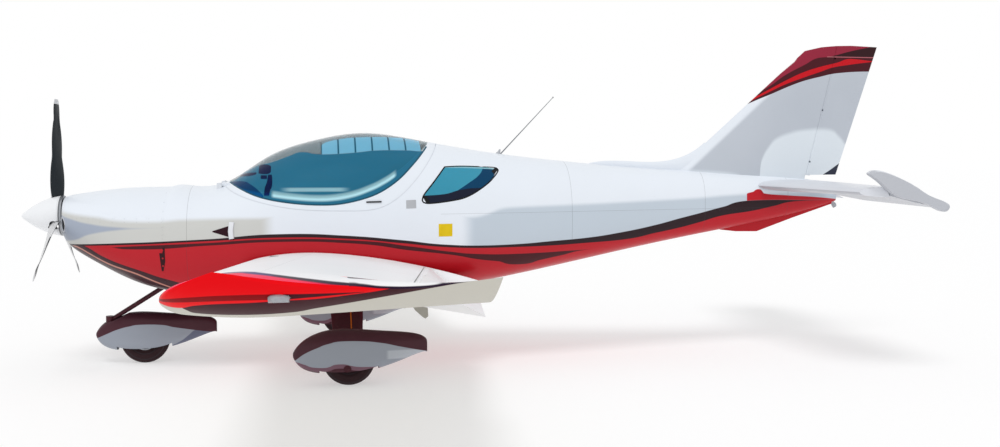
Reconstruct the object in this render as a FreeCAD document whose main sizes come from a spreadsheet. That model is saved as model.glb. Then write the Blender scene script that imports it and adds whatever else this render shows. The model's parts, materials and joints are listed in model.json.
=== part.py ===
import FreeCAD, Part
import math
import os

import Sketcher
from FreeCAD import Placement, Rotation, Vector

# Low-wing two-seat light sport aircraft, millimetres and degrees.
# Nose towards -X, starboard wing towards +Y, ground at Z = 0, parked on its three wheels.

doc = FreeCAD.newDocument("microlight")

# Fuselage stations from nose to tail: distance aft, half width, keel, widest height, top.
# The cowl is one moulding up to the joint, the cabin and tail cone another.
STATIONS = {
    "nose_ring": (-2985, 190, 950, 1092, 1236),
    "cowl_lip": (-2940, 285, 888, 1080, 1250),
    "cowl_front": (-2850, 365, 822, 1062, 1265),
    "cowl_middle": (-2650, 445, 705, 1025, 1290),
    "cowl_rear": (-2400, 508, 590, 985, 1304),
    "joint": (-2230, 532, 545, 970, 1308),
    "firewall": (-2080, 548, 523, 963, 1312),
    "windscreen": (-1862, 562, 517, 960, 1332),
    "dash": (-1550, 580, 514, 965, 1520),
    "shoulder": (-1200, 592, 513, 975, 1648),
    "roof": (-850, 594, 514, 985, 1703),
    "headrest": (-400, 580, 522, 990, 1647),
    "baggage": (150, 515, 595, 1010, 1553),
    "rear_cabin": (700, 415, 700, 1050, 1489),
    "boom": (1300, 298, 820, 1105, 1436),
    "fin_root": (1800, 212, 912, 1145, 1408),
    "tail_front": (2300, 138, 1000, 1190, 1380),
    "tail_post": (2700, 78, 1085, 1225, 1340),
    "tail_end": (2960, 36, 1160, 1222, 1282),
}

SIZES = {
    # Fuselage skin
    "skin": 12, "glass": 5, "canopy_gap": 6, "keel_power": 2.9, "top_power": 2.2,
    "cowl_split": 1088, "firewall_plate": 4,
    "canopy_hinge_x": -1868, "canopy_hinge_y": 220, "canopy_hinge_z": 1330,
    "canopy_knuckle": 30, "canopy_strap": 70,
    "bulkhead_x": 330, "bulkhead_plate": 12,
    "inlet_radius": 46, "inlet_reach": 232, "inlet_z": 1048,
    "chin_width": 260, "chin_height": 62, "chin_z": 880,
    # Engine and propeller
    "engine_length": 530, "engine_width": 470, "engine_height": 330,
    "engine_room": 38, "torque_radius": 18, "engine_front": -2870, "engine_low": 845,
    "shaft_z": 1098, "shaft_radius": 32, "gearbox_radius": 78, "gearbox_front": -2975,
    "mount_tube": 16, "mount_reach": 170,
    "hub_front": -3096, "hub_rear": -2994, "hub_radius": 66,
    "plate_front": -3012, "plate_rear": -3000, "plate_radius": 147,
    "spinner_tip": -3299, "spinner_base": -3012, "spinner_wall": 4, "propeller_x": -3052,
    "propeller_radius": 850, "wide_chord": 128,
    "cuff_radius": 27, "cuff_room": 7, "propeller_lean": 4,
    # Wing
    "wing_root_y": 480, "wing_tip_y": 3930, "wing_end_y": 4325, "tip_rise": 152,
    "root_front_x": -1705, "root_front_z": 735, "root_rear_x": -10, "root_rear_z": 622,
    "tip_front_x": -1815, "tip_front_z": 990, "tip_rear_x": -445, "tip_rear_z": 951,
    "wing_thickness": 0.135, "wing_camber": 0.022,
    "lug_radius": 11, "pin_radius": 4, "pin_reach": 22, "pin_gap": 0.05,
    "hinge_fraction": 0.775, "hinge_gap": 6, "hinge_swell": 1.06,
    "flap_in_y": 700, "flap_out_y": 2480, "aileron_in_y": 2500, "aileron_out_y": 3850,
    "aileron_droop": 13, "flap_droop": 25,
    # Tail
    "stabiliser_z": 1292, "stabiliser_span": 1450, "stabiliser_root_x": 2240,
    "stabiliser_tip_x": 2500, "elevator_rear_x": 3150, "elevator_hinge_x": 2740,
    "stabiliser_thickness": 0.1, "elevator_droop": 17, "elevator_in_y": 95, "elevator_cut": 115,
    "horn_y": 1400,
    "fin_low_z": 1330, "fin_top_z": 2405, "fin_low_x": 1535, "fin_top_x": 2734,
    "rudder_low_x": 2952, "rudder_top_x": 3300, "rudder_hinge_low": 2705,
    "rudder_hinge_top": 2960, "fin_thickness": 0.1, "rudder_low_z": 1372,
    "ventral_thick": 26,
    # Main gear
    "track_y": 1030, "main_wheel_x": -976, "wheel_radius": 175, "tyre_width": 112,
    "rim_radius": 78, "rim_width": 84, "axle_radius": 16, "axle_in_y": 905, "bore_gap": 0.4,
    "leg_top_y": 300, "leg_top_z": 545, "leg_thick": 34, "leg_chord_top": 250,
    "leg_chord_low": 190, "disc_radius": 70, "disc_thick": 6,
    "spat_front": -1348, "spat_rear": -447, "spat_half": 98, "spat_top": 380, "spat_low": 77,
    "spat_wall": 3.5, "spat_opening": 14,
    # Nose gear
    "nose_axle_x": -2450, "nose_leg_top_x": -2290, "nose_leg_top_z": 575,
    "swivel_x": -2700, "swivel_z": 318, "nose_leg_radius": 17, "swivel_radius": 30,
    "nose_spat_front": -2800, "nose_spat_rear": -1932, "nose_spat_half": 92,
    "nose_spat_top": 380, "nose_spat_low": 89, "fork_thick": 10, "leg_room": 9, "caster_angle": 60,
    # Cabin
    "panel_x": -1560, "panel_thick": 14, "panel_low": 905, "panel_top": 1165,
    "seat_y": 262, "seat_width": 450, "seat_front": -1130, "seat_rear": -640,
    "seat_high": 760, "cushion": 70, "back_top": 1330, "back_lean": 22,
    "floor_z": 575, "console_half": 34, "console_top": 800,
    "stick_x": -1240, "stick_radius": 11, "stick_top": 985,
    # Small parts
    "antenna_x": 215, "antenna_z": 1548, "antenna_reach": 420, "antenna_rise": 445,
    "antenna_radius": 5, "lamp_radius": 16, "tip_lamp_x": -1318, "tip_lamp_y": 4272, "tip_lamp_z": 1028,
    "ring_y": 2650, "ring_radius": 12,
}

sizes = doc.addObject("Spreadsheet::Sheet", "sizes")
cells = dict(SIZES)
for station, values in STATIONS.items():
    for part, value in zip(("x", "half", "keel", "waist", "top"), values):
        cells[station + "_" + part] = value
for number, (name, value) in enumerate(cells.items(), start=1):
    sizes.set("A%d" % number, name)
    sizes.set("B%d" % number, str(value))
    sizes.setAlias("B%d" % number, name)
doc.recompute()


far = 6000


def size(name):
    return float(sizes.get(name))


def keep(name, shape):
    node = doc.addObject("Part::Feature", name)
    node.Label = name
    node.Shape = shape
    return node


def mirrored(shape):
    return shape.mirror(Vector(0, 0, 0), Vector(0, 1, 0))


def box(x0, x1, y0, y1, z0, z1):
    return Part.makeBox(x1 - x0, y1 - y0, z1 - z0, Vector(x0, y0, z0))


def rod(start, end, radius, end_radius=None):
    way = end.sub(start)
    if end_radius is None or abs(end_radius - radius) < 1e-6:
        return Part.makeCylinder(radius, way.Length, start, way)
    return Part.makeCone(radius, end_radius, way.Length, start, way)


def smooth_wire(points):
    curve = Part.BSplineCurve()
    curve.interpolate(points, PeriodicFlag=True)
    return Part.Wire(curve.toShape())


def hinge(point, way, nose, thick=8):
    """A lug with a pin for a fixed edge, and the room that the moving nose leaves for them."""
    way = Vector(way).normalize()
    if way.y < 0:
        way = way * -1
    reach = nose + size("hinge_gap")
    lug = rod(point - way * (thick / 2), point + way * (thick / 2), size("lug_radius"))
    arm = Part.makeBox(reach + 12, thick, size("lug_radius") * 1.6,
                       Vector(-reach - 12, -thick / 2, -size("lug_radius") * 0.8))
    arm.Placement = Placement(point, Rotation(Vector(0, 1, 0), way)).multiply(arm.Placement)
    pin = rod(point - way * size("pin_reach"), point + way * size("pin_reach"),
              size("pin_radius"))
    slot = rod(point - way * (thick / 2 + 3), point + way * (thick / 2 + 3), reach + 2).common(
        box(-far, point.x, -far, far, 0, far))
    room = slot.fuse([rod(point - way * (thick / 2 + 3), point + way * (thick / 2 + 3),
                          size("lug_radius") + 4),
                      rod(point - way * (size("pin_reach") + 2),
                          point + way * (size("pin_reach") + 2),
                          size("pin_radius") + size("pin_gap"))])
    return lug.fuse([arm, pin]), room


def prism(profile, half_width):
    """A side-view outline, (x, z) pairs, taken right across the aircraft."""
    corners = [Vector(x, -half_width, z) for x, z in profile]
    face = Part.Face(Part.makePolygon(corners + corners[:1]))
    return face.extrude(Vector(0, 2 * half_width, 0))


# Driven sketches: every corner is a pair of expressions over the sheet
def outline(body, plane, corners, label):
    sketch = body.newObject("Sketcher::SketchObject", label)
    base = [feature for feature in body.Origin.OriginFeatures if feature.Role == plane][0]
    sketch.AttachmentSupport = [(base, "")]
    sketch.MapMode = "FlatFace"
    count = len(corners)
    ring = [Vector(10 * math.cos(2 * math.pi * i / count), 10 * math.sin(2 * math.pi * i / count), 0)
            for i in range(count)]
    for i in range(count):
        sketch.addGeometry(Part.LineSegment(ring[i], ring[(i + 1) % count]), False)
    for i in range(count):
        sketch.addConstraint(Sketcher.Constraint("Coincident", i, 2, (i + 1) % count, 1))
    for i, corner in enumerate(corners):
        for kind, start, formula in zip(("DistanceX", "DistanceY"), ring[i][:2], corner):
            index = sketch.addConstraint(Sketcher.Constraint(kind, -1, 1, i, 1, start))
            sketch.setExpression("Constraints[%d]" % index, formula)
    return sketch


def turned(name, corners, place=None):
    """A body turned about its own X axis from an (along, radius) outline."""
    body = doc.addObject("PartDesign::Body", name)
    body.Label = name
    sketch = outline(body, "XY_Plane", corners, name + "_outline")
    turn = body.newObject("PartDesign::Revolution", name + "_turn")
    turn.Profile = sketch
    turn.ReferenceAxis = (sketch, ["H_Axis"])
    turn.Angle = 360
    if place:
        body.Placement = place
    return body


# Fuselage: one closed hoop a station, rounder above the widest height than below it
def hoop(station, inset):
    x, half, keel, waist, top = (size(station + "_" + part)
                                 for part in ("x", "half", "keel", "waist", "top"))
    half, keel, top = half - inset, keel + inset, top - inset
    points = []
    for step in range(16):
        turn = 2 * math.pi * step / 16
        across, up = math.cos(turn), math.sin(turn)
        power = size("top_power") if up >= 0 else size("keel_power")
        height = top - waist if up >= 0 else waist - keel
        points.append(Vector(x, half * math.copysign(abs(across) ** (2 / power), across),
                             waist + height * math.copysign(abs(up) ** (2 / power), up)))
    return smooth_wire(points)


def hull(inset, first, last):
    names = list(STATIONS)
    names = names[names.index(first):names.index(last) + 1]
    return Part.makeLoft([hoop(station, inset) for station in names], True, False)


cowl_outer, cowl_inner = [hull(inset, "nose_ring", "joint") for inset in (0, size("skin"))]
outer, inner, glass_inner = [hull(inset, "joint", "tail_end")
                             for inset in (0, size("skin"), size("glass"))]

# Canopy outline in side view, a smooth sill line closed above the roof
SILL = ((-1872, 1350), (-1800, 1298), (-1610, 1222), (-1420, 1178), (-1200, 1155), (-950, 1150),
        (-730, 1172), (-570, 1270), (-430, 1420), (-330, 1560), (-262, 1680))
PANE = ((-1812, 1352), (-1610, 1257), (-1426, 1215), (-1198, 1193), (-995, 1201), (-778, 1258),
        (-616, 1353), (-484, 1477), (-351, 1632))
WINDOW = ((-255, 1454), (-130, 1458), (20, 1452), (147, 1437), (90, 1360), (5, 1297), (-90, 1245),
          (-190, 1217), (-397, 1196), (-427, 1241))


def over(line, top):
    """The space above a smooth side-view line, right across the aircraft."""
    points = [Vector(x, -700, z) for x, z in line]
    curve = Part.BSplineCurve()
    curve.interpolate(points)
    first, last = points[0], points[-1]
    closing = Part.makePolygon([last, Vector(last.x, -700, top), Vector(first.x, -700, top), first])
    face = Part.Face(Part.Wire([curve.toShape()] + closing.Edges))
    return face.extrude(Vector(0, 1400, 0))


def shifted(line, gap):
    """The same line moved outwards, so that the canopy clears its opening."""
    moved = []
    for i, (x, z) in enumerate(line):
        before, after = line[max(i - 1, 0)], line[min(i + 1, len(line) - 1)]
        run, rise = after[0] - before[0], after[1] - before[1]
        length = math.hypot(run, rise)
        moved.append((x + gap * rise / length, z - gap * run / length))
    return moved


canopy_space = over(SILL, 1800)
opening_space = over(shifted(SILL, size("canopy_gap")), 1800)
pane_space = over(PANE, 1800)
window_space = prism(WINDOW, 700)

cabin_box = box(size("joint_x"), size("bulkhead_x"), -far, far, 0, far)
cabin_outer, cabin_inner = outer.common(cabin_box), inner.common(cabin_box)
cabin_glass = cabin_outer.cut(glass_inner.common(cabin_box))
cabin_skin = cabin_outer.cut(cabin_inner)
tail_skin = outer.cut(inner).cut(cabin_box)
cowl = cowl_outer.cut(cowl_inner)

inlets = Part.makeCompound([
    rod(Vector(-3100, side * size("inlet_reach"), size("inlet_z")),
        Vector(-2860, side * size("inlet_reach"), size("inlet_z")), size("inlet_radius"))
    for side in (-1, 1)])
chin = box(-3100, -2800, -size("chin_width") / 2, size("chin_width") / 2,
           size("chin_z") - size("chin_height") / 2, size("chin_z") + size("chin_height") / 2)
nose_hole = rod(Vector(-3100, 0, size("shaft_z")), Vector(-2900, 0, size("shaft_z")),
                size("gearbox_radius") + 8)
upper_space = box(-far, far, -far, far, size("cowl_split"), far)
keep("cowl_upper", cowl.common(upper_space).cut(inlets).cut(nose_hole))
keep("cowl_lower", cowl.cut(upper_space).cut(inlets).cut(chin).cut(nose_hole))
keep("rear_windows", cabin_glass.common(window_space))
keep("firewall", cabin_inner.common(box(size("joint_x") + 2, size("joint_x") + 2
                                  + size("firewall_plate"), -far, far, 0, far)))
keep("baggage_bulkhead", inner.common(box(size("bulkhead_x"), size("bulkhead_x")
                                          + size("bulkhead_plate"), -far, far, 0, far)))
knuckles, ears = [], []
for side in (-1, 1):
    y, half = side * size("canopy_hinge_y"), size("canopy_knuckle") / 2
    hinge_at = Vector(size("canopy_hinge_x"), y, size("canopy_hinge_z"))
    across = Vector(0, 1, 0)
    knuckle = rod(hinge_at - across * half, hinge_at + across * half, size("lug_radius"))
    strap = box(hinge_at.x, hinge_at.x + size("canopy_strap"), y - half, y + half,
                hinge_at.z - 12, hinge_at.z + 6).cut(cabin_inner)
    knuckles.append(knuckle.fuse(strap).cut(rod(hinge_at - across * 60, hinge_at + across * 60,
                                                size("pin_radius") + size("pin_gap"))))
    pin = rod(hinge_at - across * (half + 12), hinge_at + across * (half + 12),
              size("pin_radius"))
    plates = [box(hinge_at.x - 26, hinge_at.x + 8, low, low + 8, hinge_at.z - 44, hinge_at.z + 8)
              for low in (y - half - 11, y + half + 3)]
    ears.append(plates[0].fuse([plates[1], pin]))
hinge_room = Part.makeCompound([
    rod(Vector(size("canopy_hinge_x"), side * size("canopy_hinge_y") - size("canopy_knuckle") / 2
               - 3, size("canopy_hinge_z")),
        Vector(size("canopy_hinge_x"), side * size("canopy_hinge_y") + size("canopy_knuckle") / 2
               + 3, size("canopy_hinge_z")), size("lug_radius") + 5) for side in (-1, 1)]
    + [box(size("canopy_hinge_x"), size("canopy_hinge_x") + size("canopy_strap") + 3,
           side * size("canopy_hinge_y") - size("canopy_knuckle") / 2 - 3,
           side * size("canopy_hinge_y") + size("canopy_knuckle") / 2 + 3,
           size("canopy_hinge_z") - 17, size("canopy_hinge_z") + 20) for side in (-1, 1)])
keep("canopy_hinges", Part.makeCompound([pair.cut(cabin_inner).cut(canopy_space) for pair in ears]))
frame_ring = cabin_skin.common(canopy_space).cut(pane_space)
keep("canopy_frame", frame_ring.fuse([knuckles[0], knuckles[1]]))
keep("canopy_glass", cabin_glass.common(pane_space))

cabin_shell = cabin_skin.cut(opening_space).cut(window_space).cut(hinge_room).cut(
    Part.makeCompound(ears))
tube_room = rod(Vector(size("elevator_hinge_x"), -far, size("stabiliser_z")),
                Vector(size("elevator_hinge_x"), far, size("stabiliser_z")),
                size("torque_radius") + size("hinge_gap"))
keep("fuselage_shell", cabin_shell.fuse(tail_skin).removeSplitter().cut(tube_room))

# Engine: one plain block with its gearbox nose and four mount tubes
block = box(size("engine_front"), size("engine_front") + size("engine_length"),
            -size("engine_width") / 2, size("engine_width") / 2,
            size("engine_low"), size("engine_low") + size("engine_height"))
gearbox = rod(Vector(size("engine_front"), 0, size("shaft_z")),
              Vector(size("gearbox_front"), 0, size("shaft_z")), size("gearbox_radius"))
bore = rod(Vector(size("gearbox_front"), 0, size("shaft_z")),
           Vector(size("gearbox_front") + 70, 0, size("shaft_z")), size("shaft_radius") + 0.5)
tubes = [rod(Vector(size("engine_front") + size("engine_length") - 1, y, z),
             Vector(size("joint_x") + 2, y, z), size("mount_tube"))
         for y in (-size("mount_reach"), size("mount_reach"))
         for z in (size("engine_low") + 60, size("engine_low") + size("engine_height") - 60)]
block = block.common(hull(size("engine_room"), "nose_ring", "joint"))
keep("engine_block", block.fuse([gearbox] + tubes).cut(bore))

# Propeller: shaft and hub, back plate, spinner and three twisted blades
hub_place = Placement(Vector(0, 0, size("shaft_z")), Rotation())
turned("propeller_hub", [
    ("sizes.hub_front", "0"), ("sizes.hub_front", "sizes.hub_radius"),
    ("sizes.plate_front", "sizes.hub_radius"), ("sizes.plate_front", "sizes.plate_radius"),
    ("sizes.plate_rear", "sizes.plate_radius"), ("sizes.plate_rear", "sizes.hub_radius"),
    ("sizes.hub_rear", "sizes.hub_radius"), ("sizes.hub_rear", "sizes.shaft_radius"),
    ("sizes.gearbox_front + 60", "sizes.shaft_radius"), ("sizes.gearbox_front + 60", "0")],
    hub_place)
axis = Vector(1, 0, 0)
spin = Vector(0, 0, size("shaft_z"))


def blade(room):
    """One twisted blade pointing up, grown by room all round its section."""
    stations = ((0.07, 0.62, 62), (0.18, 0.78, 50), (0.36, 1.0, 34), (0.62, 0.9, 24),
                (0.88, 0.64, 17), (1.0, 0.4, 15))
    rings = []
    for fraction, wide, pitch in stations:
        radius = fraction * size("propeller_radius")
        chord = wide * size("wide_chord")
        thick = chord * (0.5 if fraction < 0.1 else 0.24 if fraction < 0.2 else 0.12)
        points = []
        for step in range(8):
            turn = -2 * math.pi * step / 8
            along = (chord / 2 + room) * math.cos(turn)
            bulge = (thick / 2 + room) * math.sin(turn)
            tilt = math.radians(pitch)
            points.append(Vector(size("propeller_x") + along * math.sin(tilt) + bulge * math.cos(tilt),
                                 along * math.cos(tilt) - bulge * math.sin(tilt),
                                 size("shaft_z") + radius))
        rings.append(smooth_wire(points))
    return Part.makeLoft(rings, True, False)


cuff = rod(Vector(size("propeller_x"), 0, size("shaft_z") + size("hub_radius") - 3),
           Vector(size("propeller_x"), 0, size("shaft_z") + 0.16 * size("propeller_radius")),
           size("cuff_radius"), size("cuff_radius") * 0.6)
one_blade = blade(0).fuse(cuff)
hub_core = rod(Vector(size("hub_front"), 0, size("shaft_z")),
               Vector(size("hub_rear"), 0, size("shaft_z")), size("hub_radius"))
plate_core = rod(Vector(size("plate_front") - 0.3, 0, size("shaft_z")),
                 Vector(size("plate_rear"), 0, size("shaft_z")), size("plate_radius"))
one_blade = one_blade.cut(hub_core).cut(plate_core)
blades, holes = [], []
for number in range(3):
    turn = number * 120 - size("propeller_lean")
    copy = one_blade.copy()
    copy.rotate(spin, axis, turn)
    blades.append(copy)
    hole = blade(size("cuff_room")).fuse(rod(
        Vector(size("propeller_x"), 0, size("shaft_z") + size("hub_radius")),
        Vector(size("propeller_x"), 0, size("shaft_z") + size("plate_radius") + 20),
        size("cuff_radius") + size("cuff_room")))
    hole.rotate(spin, axis, turn)
    holes.append(hole)
keep("propeller_blades", Part.makeCompound(blades))


def spinner_shape(inset):
    length = size("spinner_base") - size("spinner_tip") - inset
    radius = size("plate_radius") - inset
    base_x = size("spinner_base")
    flank = Part.BezierCurve()
    flank.setPoles([Vector(base_x, 0, radius), Vector(base_x - 0.4 * length, 0, 0.97 * radius),
                    Vector(base_x - 0.86 * length, 0, 0.36 * radius),
                    Vector(base_x - length, 0, 0.06 * radius)])
    rest = Part.makePolygon([Vector(base_x - length, 0, 0.06 * radius),
                             Vector(base_x - length, 0, 0), Vector(base_x, 0, 0),
                             Vector(base_x, 0, radius)])
    face = Part.Face(Part.Wire([flank.toShape()] + rest.Edges))
    face.translate(spin)
    return face.revolve(spin, axis, 360)


keep("spinner", spinner_shape(0).cut(spinner_shape(size("spinner_wall"))).cut(
    Part.makeCompound(holes)))


# Wing: straight-tapered from root to tip, then an upswept tip with a sharp edge
def section(front, rear, thickness, camber, y, upright=False):
    """A closed aerofoil between two chord ends, each (x, z)."""
    run, rise = rear[0] - front[0], rear[1] - front[1]
    chord = math.hypot(run, rise)
    ups, downs = [], []
    for share in (1.0, 0.85, 0.65, 0.42, 0.22, 0.09, 0.025, 0.0):
        half = 5 * thickness * (0.2969 * math.sqrt(share) - 0.126 * share - 0.3516 * share ** 2
                                + 0.2843 * share ** 3 - 0.1015 * share ** 4)
        mean = 4 * camber * share * (1 - share)
        ups.append((share, mean + half))
        downs.append((share, mean - half))
    ring = ups + downs[-2::-1]
    points = []
    for share, off in ring:
        x = front[0] + run * share - rise * off
        z = front[1] + rise * share + run * off
        points.append(Vector(x, off * chord, y) if upright else Vector(x, y, z))
    curve = Part.BSplineCurve()
    curve.interpolate(points)
    return Part.Wire([curve.toShape(), Part.LineSegment(points[-1], points[0]).toShape()])


def chord_at(y):
    share = (y - size("wing_root_y")) / (size("wing_tip_y") - size("wing_root_y"))
    ends = []
    for end in ("front", "rear"):
        ends.append(tuple(size("root_%s_%s" % (end, part)) * (1 - share)
                          + size("tip_%s_%s" % (end, part)) * share for part in ("x", "z")))
    return ends


def wing_wire(y):
    front, rear = chord_at(y)
    return section(front, rear, size("wing_thickness"), size("wing_camber"), -y)


def hinge_point(y):
    front, rear = chord_at(y)
    share = size("hinge_fraction")
    rise = 4 * size("wing_camber") * share * (1 - share) * (rear[0] - front[0])
    return Vector(front[0] + (rear[0] - front[0]) * share, -y,
                  front[1] + (rear[1] - front[1]) * share + rise)


def nose_radius(y):
    front, rear = chord_at(y)
    share = size("hinge_fraction")
    half = 5 * size("wing_thickness") * (0.2969 * math.sqrt(share) - 0.126 * share
                                         - 0.3516 * share ** 2 + 0.2843 * share ** 3
                                         - 0.1015 * share ** 4)
    return half * (rear[0] - front[0]) * size("hinge_swell")


def behind(y_in, y_out, gap):
    """The space aft of the hinge line between two span stations, with a round nose."""
    a, b = hinge_point(y_in), hinge_point(y_out)
    corners = [Vector(a.x, a.y, 0), Vector(b.x, b.y, 0), Vector(400, b.y, 0), Vector(400, a.y, 0)]
    block = Part.Face(Part.makePolygon(corners + corners[:1])).extrude(Vector(0, 0, 2000))
    nose = rod(a, b, nose_radius(y_in) + gap, nose_radius(y_out) + gap)
    return block.fuse(nose)


main_wing = Part.makeLoft([wing_wire(size("wing_root_y")), wing_wire(size("wing_tip_y"))],
                          True, True)
gap = size("hinge_gap")
flap_space = behind(size("flap_in_y") - 2 * gap, size("flap_out_y") + 2 * gap, gap)
aileron_space = behind(size("aileron_in_y") - 2 * gap, size("aileron_out_y") + 2 * gap, gap)
flap = main_wing.common(behind(size("flap_in_y"), size("flap_out_y"), 0))
aileron = main_wing.common(behind(size("aileron_in_y"), size("aileron_out_y"), 0))
lugs = []
for share in (0.08, 0.5, 0.92):
    y = size("flap_in_y") + (size("flap_out_y") - size("flap_in_y")) * share
    lug, room = hinge(hinge_point(y), hinge_point(y + 1) - hinge_point(y), nose_radius(y))
    lugs.append(lug)
    flap = flap.cut(room)
    y = size("aileron_in_y") + (size("aileron_out_y") - size("aileron_in_y")) * share
    lug, room = hinge(hinge_point(y), hinge_point(y + 1) - hinge_point(y), nose_radius(y))
    lugs.append(lug)
    aileron = aileron.cut(room)
wing = main_wing.cut(flap_space).cut(aileron_space).fuse(lugs)
keep("wing_left", wing.cut(outer))
keep("wing_right", mirrored(wing).cut(outer))
flap.rotate(hinge_point(size("flap_in_y")),
            hinge_point(size("flap_out_y")).sub(hinge_point(size("flap_in_y"))),
            -size("flap_droop"))
keep("flap_left", flap)
keep("flap_right", mirrored(flap))
hinge_in, hinge_out = hinge_point(size("aileron_in_y")), hinge_point(size("aileron_out_y"))
hinge_way = hinge_out.sub(hinge_in)
drooped = aileron.copy()
drooped.rotate(hinge_in, hinge_way, -size("aileron_droop"))
raised = aileron.copy()
raised.rotate(hinge_in, hinge_way, size("aileron_droop"))
keep("aileron_left", drooped)
keep("aileron_right", mirrored(raised))

front, rear = chord_at(size("wing_tip_y"))
reach = size("wing_end_y") - size("wing_tip_y")
tip_rings = [wing_wire(size("wing_tip_y"))]
# Each ring: share of the reach, share of the chord swept back, share of the rise in front
# and behind, share of the thickness, camber
for share, back, rise_front, rise_rear, thin, camber in (
        (0.45, 0.02, 0.17, 0.3, 0.88, 0.012), (0.8, 0.07, 0.55, 0.72, 0.56, -0.012),
        (1.0, 0.18, 1.0, 1.0, 0.1, -0.045)):
    chord = rear[0] - front[0]
    tip_rings.append(section(
        (front[0] + chord * back, front[1] + size("tip_rise") * rise_front),
        (rear[0], rear[1] + size("tip_rise") * rise_rear), size("wing_thickness") * thin,
        camber, -(size("wing_tip_y") + reach * share)))
wing_tip = Part.makeLoft(tip_rings, True, False)
keep("wing_tips", Part.makeCompound([wing_tip, mirrored(wing_tip)]))

# Tail: stabiliser and elevator, fin and rudder
tail_z = size("stabiliser_z")
half_tail = Part.makeLoft([
    section((size("stabiliser_root_x"), tail_z), (size("elevator_rear_x"), tail_z),
            size("stabiliser_thickness"), 0, 0),
    section((size("stabiliser_tip_x"), tail_z), (size("elevator_rear_x"), tail_z),
            size("stabiliser_thickness"), 0, -size("stabiliser_span"))], True, True)
hinge_x = size("elevator_hinge_x")


def tail_nose(y):
    front_x = size("stabiliser_root_x") + (size("stabiliser_tip_x") - size("stabiliser_root_x")) \
        * y / size("stabiliser_span")
    chord = size("elevator_rear_x") - front_x
    share = (hinge_x - front_x) / chord
    return 5 * size("stabiliser_thickness") * chord * (
        0.2969 * math.sqrt(share) - 0.126 * share - 0.3516 * share ** 2
        + 0.2843 * share ** 3 - 0.1015 * share ** 4) * size("hinge_swell")


def tail_space(y_in, y_out, gap):
    block = box(hinge_x, hinge_x + 900, -y_out, -y_in, tail_z - 300, tail_z + 300)
    nose = rod(Vector(hinge_x, -y_in, tail_z), Vector(hinge_x, -y_out, tail_z),
               tail_nose(y_in) + gap, tail_nose(y_out) + gap)
    return block.fuse(nose)


elevator_half = half_tail.common(tail_space(size("elevator_in_y"), size("stabiliser_span"), 0))
wedge = Part.Face(Part.makePolygon([
    Vector(hinge_x + 60, 0, 0), Vector(hinge_x + 60, -size("elevator_in_y"), 0),
    Vector(hinge_x + 900, -size("elevator_in_y") - 2 * size("elevator_cut"), 0),
    Vector(hinge_x + 900, 0, 0), Vector(hinge_x + 60, 0, 0)])).extrude(Vector(0, 0, far))
elevator_half = elevator_half.cut(wedge)
elevator_half = elevator_half.cut(box(-far, far, -far, -size("horn_y"), 0, far))
torque_tube = rod(Vector(hinge_x, -size("elevator_in_y") - 20, tail_z),
                  Vector(hinge_x, size("elevator_in_y") + 20, tail_z),
                  size("torque_radius"))
elevator = elevator_half.fuse([mirrored(elevator_half), torque_tube])
tail_lugs = []
for share in (-0.85, -0.35, 0.35, 0.85):
    y = size("stabiliser_span") * share
    lug, room = hinge(Vector(hinge_x, y, tail_z), Vector(0, 1, 0), tail_nose(abs(y)))
    tail_lugs.append(lug)
    elevator = elevator.cut(room)
elevator.rotate(Vector(hinge_x, 0, tail_z), Vector(0, 1, 0), size("elevator_droop"))
keep("elevator", elevator)

# Elevator tips: raised balance horns in side view, from the hinge
HORN = ((-205, 134), (-168, 150), (-100, 142), (20, 98), (150, 32), (280, -40), (390, -114),
        (385, -122), (250, -96), (110, -56), (0, -26), (-60, 10), (-120, 62), (-185, 108))
rings = []
for y, share in ((-size("horn_y"), 1.0), (-size("stabiliser_span") + 12, 1.0),
                 (-size("stabiliser_span"), 0.93)):
    rings.append(smooth_wire([Vector(hinge_x + 60 + (x - 60) * share, y, tail_z + z * share)
                              for x, z in HORN]))
horn = Part.makeLoft(rings, True, True)
keep("elevator_tips", Part.makeCompound([horn, mirrored(horn)]))
fixed_half = half_tail.cut(tail_space(0, size("stabiliser_span") + 50, gap)).cut(
    box(-far, far, -far, -size("horn_y") + gap, 0, far))
hidden = rod(Vector(hinge_x, -300, tail_z), Vector(hinge_x, 300, tail_z), 60)
stabiliser = fixed_half.fuse(mirrored(fixed_half)).cut(outer).cut(hidden).fuse(tail_lugs)
keep("stabiliser", stabiliser)

whole_fin = Part.makeLoft([
    section((size("fin_low_x"), 0), (size("rudder_low_x"), 0), size("fin_thickness"), 0,
            size("fin_low_z"), True),
    section((size("fin_top_x"), 0), (size("rudder_top_x"), 0), size("fin_thickness"), 0,
            size("fin_top_z"), True)], True, True)
nose_x, top_z = size("fin_top_x"), size("fin_top_z")
whole_fin = whole_fin.common(prism([
    (1000, 1000), (nose_x - 130, top_z - 130), (nose_x - 96, top_z - 78), (nose_x - 48, top_z - 44),
    (nose_x + 80, top_z - 15), (nose_x + 200, top_z - 4), (nose_x + 330, top_z),
    (nose_x + 700, top_z - 12), (nose_x + 700, 1000)], 300))


def fin_hinge(z):
    share = (z - size("fin_low_z")) / (size("fin_top_z") - size("fin_low_z"))
    return Vector(size("rudder_hinge_low") * (1 - share) + size("rudder_hinge_top") * share, 0, z)


def fin_nose(z):
    share = (z - size("fin_low_z")) / (size("fin_top_z") - size("fin_low_z"))
    front_x = size("fin_low_x") * (1 - share) + size("fin_top_x") * share
    rear_x = size("rudder_low_x") * (1 - share) + size("rudder_top_x") * share
    part = (fin_hinge(z).x - front_x) / (rear_x - front_x)
    return 5 * size("fin_thickness") * (rear_x - front_x) * (
        0.2969 * math.sqrt(part) - 0.126 * part - 0.3516 * part ** 2
        + 0.2843 * part ** 3 - 0.1015 * part ** 4) * size("hinge_swell")


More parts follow.
